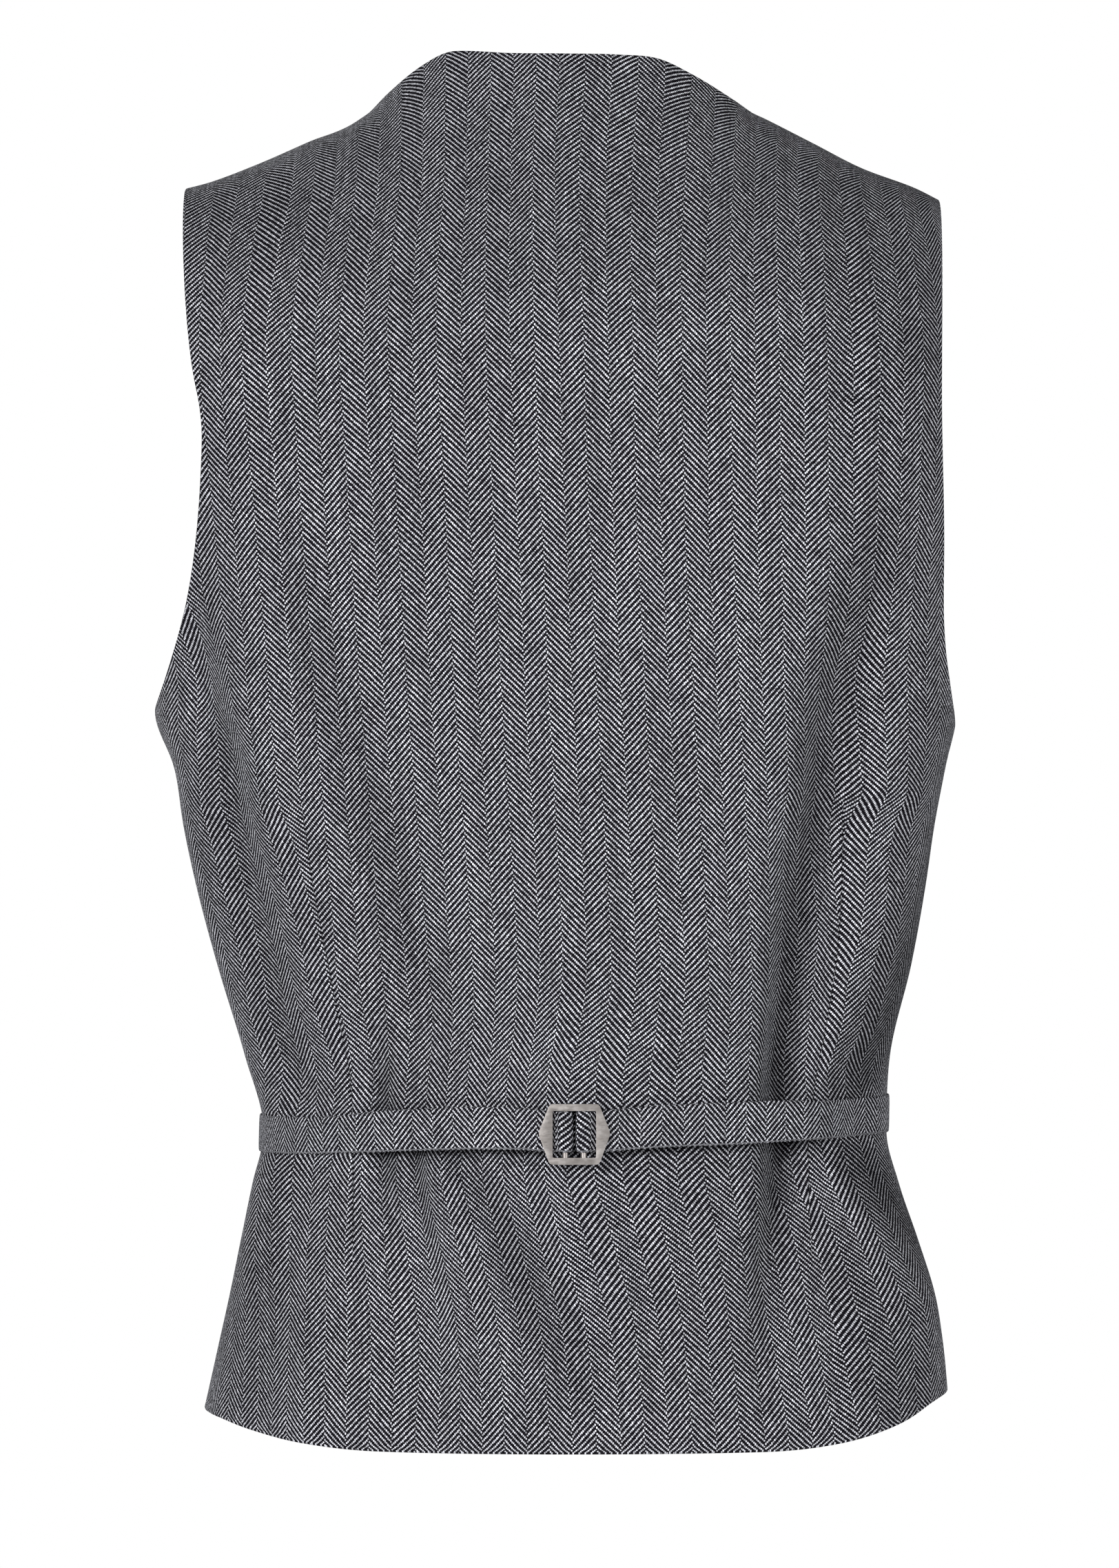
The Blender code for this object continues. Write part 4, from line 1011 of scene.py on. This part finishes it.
def evaluated_mesh(obj):
    """The object's mesh with its modifiers applied. The object itself is removed."""
    bpy.context.view_layer.update()
    mesh = bpy.data.meshes.new_from_object(obj.evaluated_get(bpy.context.evaluated_depsgraph_get()))
    bpy.data.objects.remove(obj)
    return mesh


def mesh_of(name, shape):
    """A mesh from a bmesh, which is freed."""
    mesh = bpy.data.meshes.new(name)
    shape.to_mesh(mesh)
    shape.free()
    return mesh


def plate_with_window(outlines, thickness):
    """A flat plate in its XY plane from 2D outlines: the first is its edge, the rest holes."""
    curve = bpy.data.curves.new("outline", "CURVE")
    curve.dimensions = "2D"
    curve.fill_mode = "BOTH"
    curve.extrude = thickness / 2 * MM
    for outline in outlines:
        spline = curve.splines.new("POLY")
        spline.points.add(len(outline) - 1)
        for point, (x, z) in zip(spline.points, outline):
            point.co = (x * MM, z * MM, 0, 1)
        spline.use_cyclic_u = True
    plate = bmesh.new()
    plate.from_mesh(evaluated_mesh(add_object("outline", curve)))
    bmesh.ops.remove_doubles(plate, verts=plate.verts, dist=1e-6)
    bmesh.ops.recalc_face_normals(plate, faces=plate.faces)
    return mesh_of("plate", plate)


def rod(radius, low, high, x, y, segments):
    """A round rod along Z between two heights."""
    shape = bmesh.new()
    size = {"radius1": radius * MM, "radius2": radius * MM, "depth": (high - low) * MM}
    bmesh.ops.create_cone(shape, cap_ends=True, segments=segments, **size)
    placed = add_object("rod", mesh_of("rod", shape))
    placed.location = (x * MM, y * MM, (low + high) / 2 * MM)
    return placed


def with_rods(target, operation, rods, sharp_angle, material):
    """The target's mesh with rods joined to it or cut out of it. The objects are removed."""
    for one in rods:
        step = target.modifiers.new("rod", "BOOLEAN")
        step.operation = operation
        step.object = one
    mesh = evaluated_mesh(target)
    for one in rods:
        bpy.data.objects.remove(one)
    mesh.shade_smooth()
    mesh.set_sharp_from_angle(angle=math.radians(sharp_angle))
    mesh.materials.clear()
    mesh.materials.append(material)
    return mesh


def make_buckle(material):
    """The buckle's frame with rounded edges, its two bars joined to it."""
    left = tuple((-x, z, radius) for x, z, radius in reversed(FRAME_CORNERS))
    window = [
        (sx * WINDOW_HALF_WIDTH, sz * WINDOW_HALF_HEIGHT, WINDOW_RADIUS)
        for sx, sz in ((1, 1), (1, -1), (-1, -1), (-1, 1))
    ]
    outlines = rounded(FRAME_CORNERS + left, FRAME_CORNER_STEPS), rounded(window, WINDOW_CORNER_STEPS)
    plate = add_object("buckle_plate", plate_with_window(outlines, FRAME_THICKNESS))
    middle = mathutils.Vector((BUCKLE_X, buckle_depth() + FRAME_THICKNESS / 2, BUCKLE_HEIGHT)) * MM
    place = mathutils.Matrix.Translation(middle) @ mathutils.Matrix.Rotation(math.pi / 2, 4, "X")
    plate.matrix_world = place
    edges = plate.modifiers.new("worn edges", "BEVEL")
    edges.width = FRAME_EDGE * MM
    edges.segments = FRAME_EDGE_SEGMENTS
    edges.limit_method = "ANGLE"
    edges.angle_limit = math.radians(FRAME_SHARP)
    end = WINDOW_HALF_HEIGHT + BAR_SEAT
    parts = (
        (BAR_RADIUS, BUCKLE_HEIGHT - end, BUCKLE_HEIGHT + end),
        (FOOT_RADIUS, BUCKLE_HEIGHT - end + FOOT_SEAT, BUCKLE_HEIGHT - WINDOW_HALF_HEIGHT + FOOT_HEIGHT),
    )
    rods = [
        rod(*part, BUCKLE_X + side * BAR_OFFSET, buckle_depth() + BAR_DEPTH, BAR_SEGMENTS)
        for side in (-1, 1)
        for part in parts
    ]
    mesh = with_rods(plate, "UNION", rods, BUCKLE_SHARP, material)
    mesh.transform(place)
    return add_object("cinch_buckle", mesh)


def button_mesh(material):
    """A turned button with a raised rim and four holes, its face towards +Z."""
    profile = bpy.data.meshes.new("button_profile")
    points = [(radius * MM, 0, height * MM) for radius, height in BUTTON_PROFILE]
    profile.from_pydata(points, [(k, k + 1) for k in range(len(points) - 1)], [])
    turned = add_object("button_turned", profile)
    screw = turned.modifiers.new("turn", "SCREW")
    screw.steps = screw.render_steps = BUTTON_STEPS
    screw.use_merge_vertices = True
    screw.merge_threshold = 1e-5
    hole = (BUTTON_HOLE_RADIUS, -BUTTON_THICKNESS, BUTTON_THICKNESS)
    offsets = (-BUTTON_HOLE_OFFSET, BUTTON_HOLE_OFFSET)
    holes = [rod(*hole, x, y, BUTTON_HOLE_STEPS) for x in offsets for y in offsets]
    return with_rods(turned, "DIFFERENCE", holes, BUTTON_SHARP, material)


def make_buttons(material):
    """Five buttons down the centre line of the left front, facing -Y."""
    mesh = button_mesh(material)
    buttons = []
    for number, height in enumerate(BUTTON_HEIGHTS, start=1):
        point, normal = outward(front_surface(1), np.array(180.0), np.array(height))
        button = add_object(f"fine_button_{number}", mesh)
        button.location = (point + normal * (LYING_GAP + BUTTON_THICKNESS / 2)) * MM
        button.rotation_euler = (math.pi / 2 - math.atan2(normal[2], -normal[1]), 0, 0)
        buttons.append(button)
    return buttons


def put(tree, socket, value):
    """Sets a socket's value, or links it to another socket or to several as one vector."""
    if isinstance(value, tuple) and any(isinstance(part, bpy.types.NodeSocket) for part in value):
        value = node(tree, "CombineXYZ", dict(enumerate(value))).outputs[0]
    if isinstance(value, bpy.types.NodeSocket):
        tree.links.new(value, socket)
    else:
        socket.default_value = value


def fill(tree, filled, inputs):
    """Puts values in a node's inputs, each given by its name or number."""
    for key, value in inputs.items():
        put(tree, filled.inputs[key], value)


def node(tree, kind, inputs, **settings):
    """A new shader node with these settings and inputs."""
    made = tree.nodes.new(f"ShaderNode{kind}")
    for setting, value in settings.items():
        setattr(made, setting, value)
    fill(tree, made, inputs)
    return made


def maths(tree):
    """A short call for math nodes of this tree: calc("ADD", a, b)."""

    def calc(operation, *values):
        return node(tree, "Math", dict(enumerate(values)), operation=operation).outputs[0]

    return calc


def noise(tree, vector, scale, detail=2.0):
    """A noise texture's factor, with about `scale` bumps to a unit of its vector."""
    return node(tree, "TexNoise", {"Vector": vector, "Scale": scale, "Detail": detail}).outputs[0]


def smooth_step(tree, value, low, high, to_low=0.0, to_high=1.0):
    inputs = dict(enumerate((value, low, high, to_low, to_high)))
    return node(tree, "MapRange", inputs, interpolation_type="SMOOTHSTEP").outputs[0]


def mixed(tree, share, first, second, data_type="RGBA", blend_type="MIX"):
    """Two colours, or two numbers, mixed."""
    inputs = {"Factor": share, "A": first, "B": second}
    return node(tree, "Mix", inputs, data_type=data_type, blend_type=blend_type).outputs["Result"]


def times(tree, colour, level):
    """A colour made darker or lighter by a number."""
    return mixed(tree, 1.0, colour, (level, level, level), blend_type="MULTIPLY")


def bump(tree, height, strength, distance):
    inputs = {"Height": height, "Strength": strength, "Distance": distance}
    return node(tree, "Bump", inputs).outputs[0]


def new_material(name, roughness, metallic=0.0):
    material = bpy.data.materials.new(name)
    material.use_nodes = True
    tree, shader = material.node_tree, material.node_tree.nodes["Principled BSDF"]
    fill(tree, shader, {"Roughness": roughness, "Metallic": metallic})
    return material, tree, shader


def attribute(tree, name):
    return node(tree, "Attribute", {}, attribute_name=name).outputs["Fac"]


def on_object(tree, stretch=(1.0, 1.0, 1.0)):
    """The place on the object, each axis stretched by its own factor."""
    place = node(tree, "TexCoord", {}).outputs["Object"]
    return node(tree, "Mapping", {"Vector": place, "Scale": stretch}).outputs[0]


def wool_material():
    """Herringbone: a 2/2 twill of light warp ends over dark picks that turns back every COLUMN_ENDS."""
    material, tree, shader = new_material("wool_herringbone", roughness=0.95)
    calc = maths(tree)
    cloth = node(tree, "UVMap", {}, uv_map=CLOTH_MAP).outputs[0]
    flat_u, v = node(tree, "SeparateXYZ", {0: cloth}).outputs[:2]
    past, taken = attribute(tree, "past_dart"), attribute(tree, "taken_in")
    u = calc("MULTIPLY_ADD", taken, calc("GREATER_THAN", past, 0.0), flat_u)

    def shifted(place, vector, length, reach, detail=2.0):
        """The place moved to and fro by up to about `reach`, over stretches of this length."""
        sway = calc("SUBTRACT", noise(tree, vector, 1 / length, detail), 0.5)
        return calc("MULTIPLY_ADD", sway, 2 * reach, place)

    def stretched(across, along, z, scale=1.0, detail=2.0):
        """Noise over the cloth, with more bumps across it and along it by these factors."""
        place = (calc("MULTIPLY", u, across), calc("MULTIPLY", v, along), z)
        return noise(tree, place, scale, detail)

    def spun(fibres, turn, low, high):
        """A yarn's colour, spun of two shades."""
        share = smooth_step(tree, stretched(*fibres, 1 / MARL_LENGTH, 3.0), *turn)
        return mixed(tree, share, low, high)

    def roundness(place):
        """A yarn's height across its width, from 0 at its sides to 1 in the middle."""
        off_middle = calc("ABSOLUTE", calc("SUBTRACT", calc("FRACT", place), 0.5))
        return calc("SUBTRACT", 1.0, calc("POWER", calc("MULTIPLY", off_middle, 2.0), 2.0))

    def varied(dimensions, inputs, spread):
        """A brightness of about 1 that differs from yarn to yarn."""
        grey = node(tree, "TexWhiteNoise", inputs, noise_dimensions=dimensions).outputs["Value"]
        return calc("MULTIPLY_ADD", grey, spread, 1 - spread / 2)

    swayed = shifted(v, (u, v), SLOW_WAVE, SLOW_REACH)
    picks = calc("DIVIDE", shifted(swayed, (u, v), RAGGED_LENGTH, RAGGED_REACH, 1.0), PICK)
    ends = calc("DIVIDE", shifted(u, (v, u, 7.0), SLOW_WAVE, SLOW_REACH), END)
    end = calc("FLOOR", ends)
    lift = calc("PINGPONG", calc("ADD", end, 0.5), COLUMN_ENDS)
    odd = calc("PINGPONG", calc("FLOOR", calc("DIVIDE", end, COLUMN_ENDS)), 1.0)
    twill = calc("MULTIPLY_ADD", calc("SUBTRACT", lift, picks), 0.25, calc("MULTIPLY", odd, 0.5))
    crest = calc("PINGPONG", calc("ADD", twill, 0.25), 0.5)
    thick_end = stretched(1 / SLUB_WIDTH, 1 / SLUB_LENGTH, 0.0)
    thick_pick = stretched(1 / SLUB_LENGTH, 1 / SLUB_WIDTH, 5.0)
    slub = calc("MULTIPLY", calc("SUBTRACT", thick_end, thick_pick), SLUB_REACH)
    light = smooth_step(tree, calc("ADD", crest, slub), LIGHT_FROM - YARN_BLUR, LIGHT_FROM + YARN_BLUR)

    round_end = roundness(ends)
    float_level = varied("2D", {"Vector": (end, calc("FLOOR", twill))}, FLOAT_SPREAD)
    end_level = varied("1D", {"W": end}, YARN_SPREAD)
    # painted shade at the sides of the light yarns, in the gaps between them
    valley = smooth_step(tree, round_end, 0.0, VALLEY_TOP, 1 - YARN_VALLEY, 1.0)
    grey = calc("MULTIPLY", calc("MULTIPLY", float_level, end_level), valley)
    woven = mixed(tree, light, spun(*DARK_YARN), times(tree, spun(*LIGHT_YARN), grey))

    cloudy = noise(tree, (u, v, 11.0), 1 / CLOUD_LENGTH, 4.0)
    cloud = calc("MULTIPLY_ADD", calc("SUBTRACT", cloudy, 0.5), CLOUD_DEPTH, 1.0)
    near_seam = smooth_step(tree, calc("ABSOLUTE", past), *SEAM_WIDTHS, 1.0, 0.0)
    in_seam = calc("MULTIPLY", near_seam, smooth_step(tree, calc("ABSOLUTE", taken), *SEAM_SHOWS))
    shade = calc("MULTIPLY", cloud, calc("MULTIPLY_ADD", in_seam, -SEAM_SHADE, 1.0))
    # darkens the colour by the back's painted shade: in its folds, under its belts and over its yoke
    shade = calc("MULTIPLY", shade, calc("SUBTRACT", 1.0, attribute(tree, "dimmed")))
    low_pick = calc("MULTIPLY", roundness(picks), PICK_HEIGHT)
    yarn_height = mixed(tree, light, low_pick, round_end, data_type="FLOAT")
    finish = {
        "Base Color": times(tree, woven, shade),
        "Specular IOR Level": 0.05,
        "Normal": bump(tree, yarn_height, 0.6, YARN_RELIEF * MM),
    }
    fill(tree, shader, finish)
    return material


def metal_material():
    """Antique pewter, cast and brushed, darker where it has tarnished."""
    material, tree, shader = new_material("antique_pewter", roughness=0.42, metallic=1.0)
    place = on_object(tree)
    brushed = noise(tree, on_object(tree, (0.35, 1.0, 4.0)), 900.0, 4.0)
    tarnish = smooth_step(tree, noise(tree, place, 260.0, 3.0), 0.35, 0.7)
    finish = {
        "Base Color": mixed(tree, tarnish, *PEWTER),
        "Roughness": smooth_step(tree, brushed, 0.2, 0.8, 0.36, 0.54),
        "Normal": bump(tree, noise(tree, place, 1500.0), 0.25, CAST_RELIEF * MM),
    }
    fill(tree, shader, finish)
    return material


def horn_material():
    """Polished dark horn with faint brown streaks."""
    material, tree, shader = new_material("button_horn", roughness=0.3)
    streak = noise(tree, on_object(tree, (1.0, 3.0, 1.0)), 170.0, 5.0)
    finish = {
        "Base Color": mixed(tree, smooth_step(tree, streak, 0.5, 0.8), *HORN),
        "Roughness": smooth_step(tree, streak, 0.3, 0.8, 0.24, 0.4),
    }
    fill(tree, shader, finish)
    return material


def area_light(name, location, size, power):
    """A square softbox turned towards the garment."""
    data = bpy.data.lights.new(name, "AREA")
    data.shape = "SQUARE"
    data.size = size
    data.energy = power
    light = add_object(name, data)
    light.location = location
    direction = mathutils.Vector(LIGHTS_AIM) - light.location
    light.rotation_euler = direction.to_track_quat("-Z", "Y").to_euler()


def make_world():
    """White to the camera, and a soft grey light from all round."""
    world = bpy.data.worlds.new("studio")
    world.use_nodes = True
    tree = world.node_tree
    tree.nodes.clear()
    light, seen = (
        node(tree, "Background", {"Color": WHITE, "Strength": strength}).outputs[0]
        for strength in (AMBIENT, 1.0)
    )
    to_camera = node(tree, "LightPath", {}).outputs["Is Camera Ray"]
    mix = node(tree, "MixShader", {0: to_camera, 1: light, 2: seen})
    node(tree, "OutputWorld", {"Surface": mix.outputs[0]})
    bpy.context.scene.world = world


def make_floor():
    """A pale round floor under the hanging piece, which fades into the white at its rim."""
    disc = bmesh.new()
    bmesh.ops.create_circle(disc, cap_ends=True, segments=96, radius=FLOOR_RADIUS)
    floor = add_object("floor", mesh_of("floor", disc))
    floor.location = (0, 0, FLOOR_HEIGHT)
    material, tree, shader = new_material("pale_floor", roughness=0.8)
    distance = node(tree, "VectorMath", {0: on_object(tree)}, operation="LENGTH").outputs["Value"]
    fade = smooth_step(tree, distance, *(FLOOR_RADIUS * share for share in FLOOR_FADE), 1.0, 0.0)
    fill(tree, shader, {"Base Color": FLOOR_COLOUR, "Alpha": fade})
    floor.data.materials.append(material)


def make_camera():
    """The photo's view: straight from behind, far enough for a natural perspective."""
    data = bpy.data.cameras.new("camera")
    data.sensor_fit = "VERTICAL"
    data.sensor_height = SENSOR
    data.lens = SENSOR * CAMERA_PLACE[1] / FRAME_HEIGHT
    camera = add_object("camera", data)
    camera.location = CAMERA_PLACE
    camera.rotation_euler = (math.pi / 2, 0, math.pi)
    bpy.context.scene.camera = camera


def make_studio():
    make_world()
    make_floor()
    for softbox in SOFTBOXES:
        area_light(*softbox)
    make_camera()
    bpy.context.scene.view_settings.view_transform = "Standard"


def ready(piece, node_name):
    """Hides the CAD node that this piece stands for, and hangs the piece on the body's root."""
    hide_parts(node_name)
    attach(piece, "root")


def main():
    make_studio()
    wool, metal, horn = wool_material(), metal_material(), horn_material()
    back = make_panel("back_panel", *back_panel(), wool)
    ready(back, "back")
    for name, side in (("front_left", 1), ("front_right", -1)):
        front = make_panel(f"{name}_panel", *front_panel(side), wool)
        ready(front, name)
    for name, side in (("belt_left", 1), ("belt_right", -1)):
        belt = make_belt(f"half_{name}", side, wool)
        ready(belt, name)
    ready(make_buckle(metal), "buckle")
    for number, button in enumerate(make_buttons(horn), start=1):
        ready(button, f"button_{number}")


main()
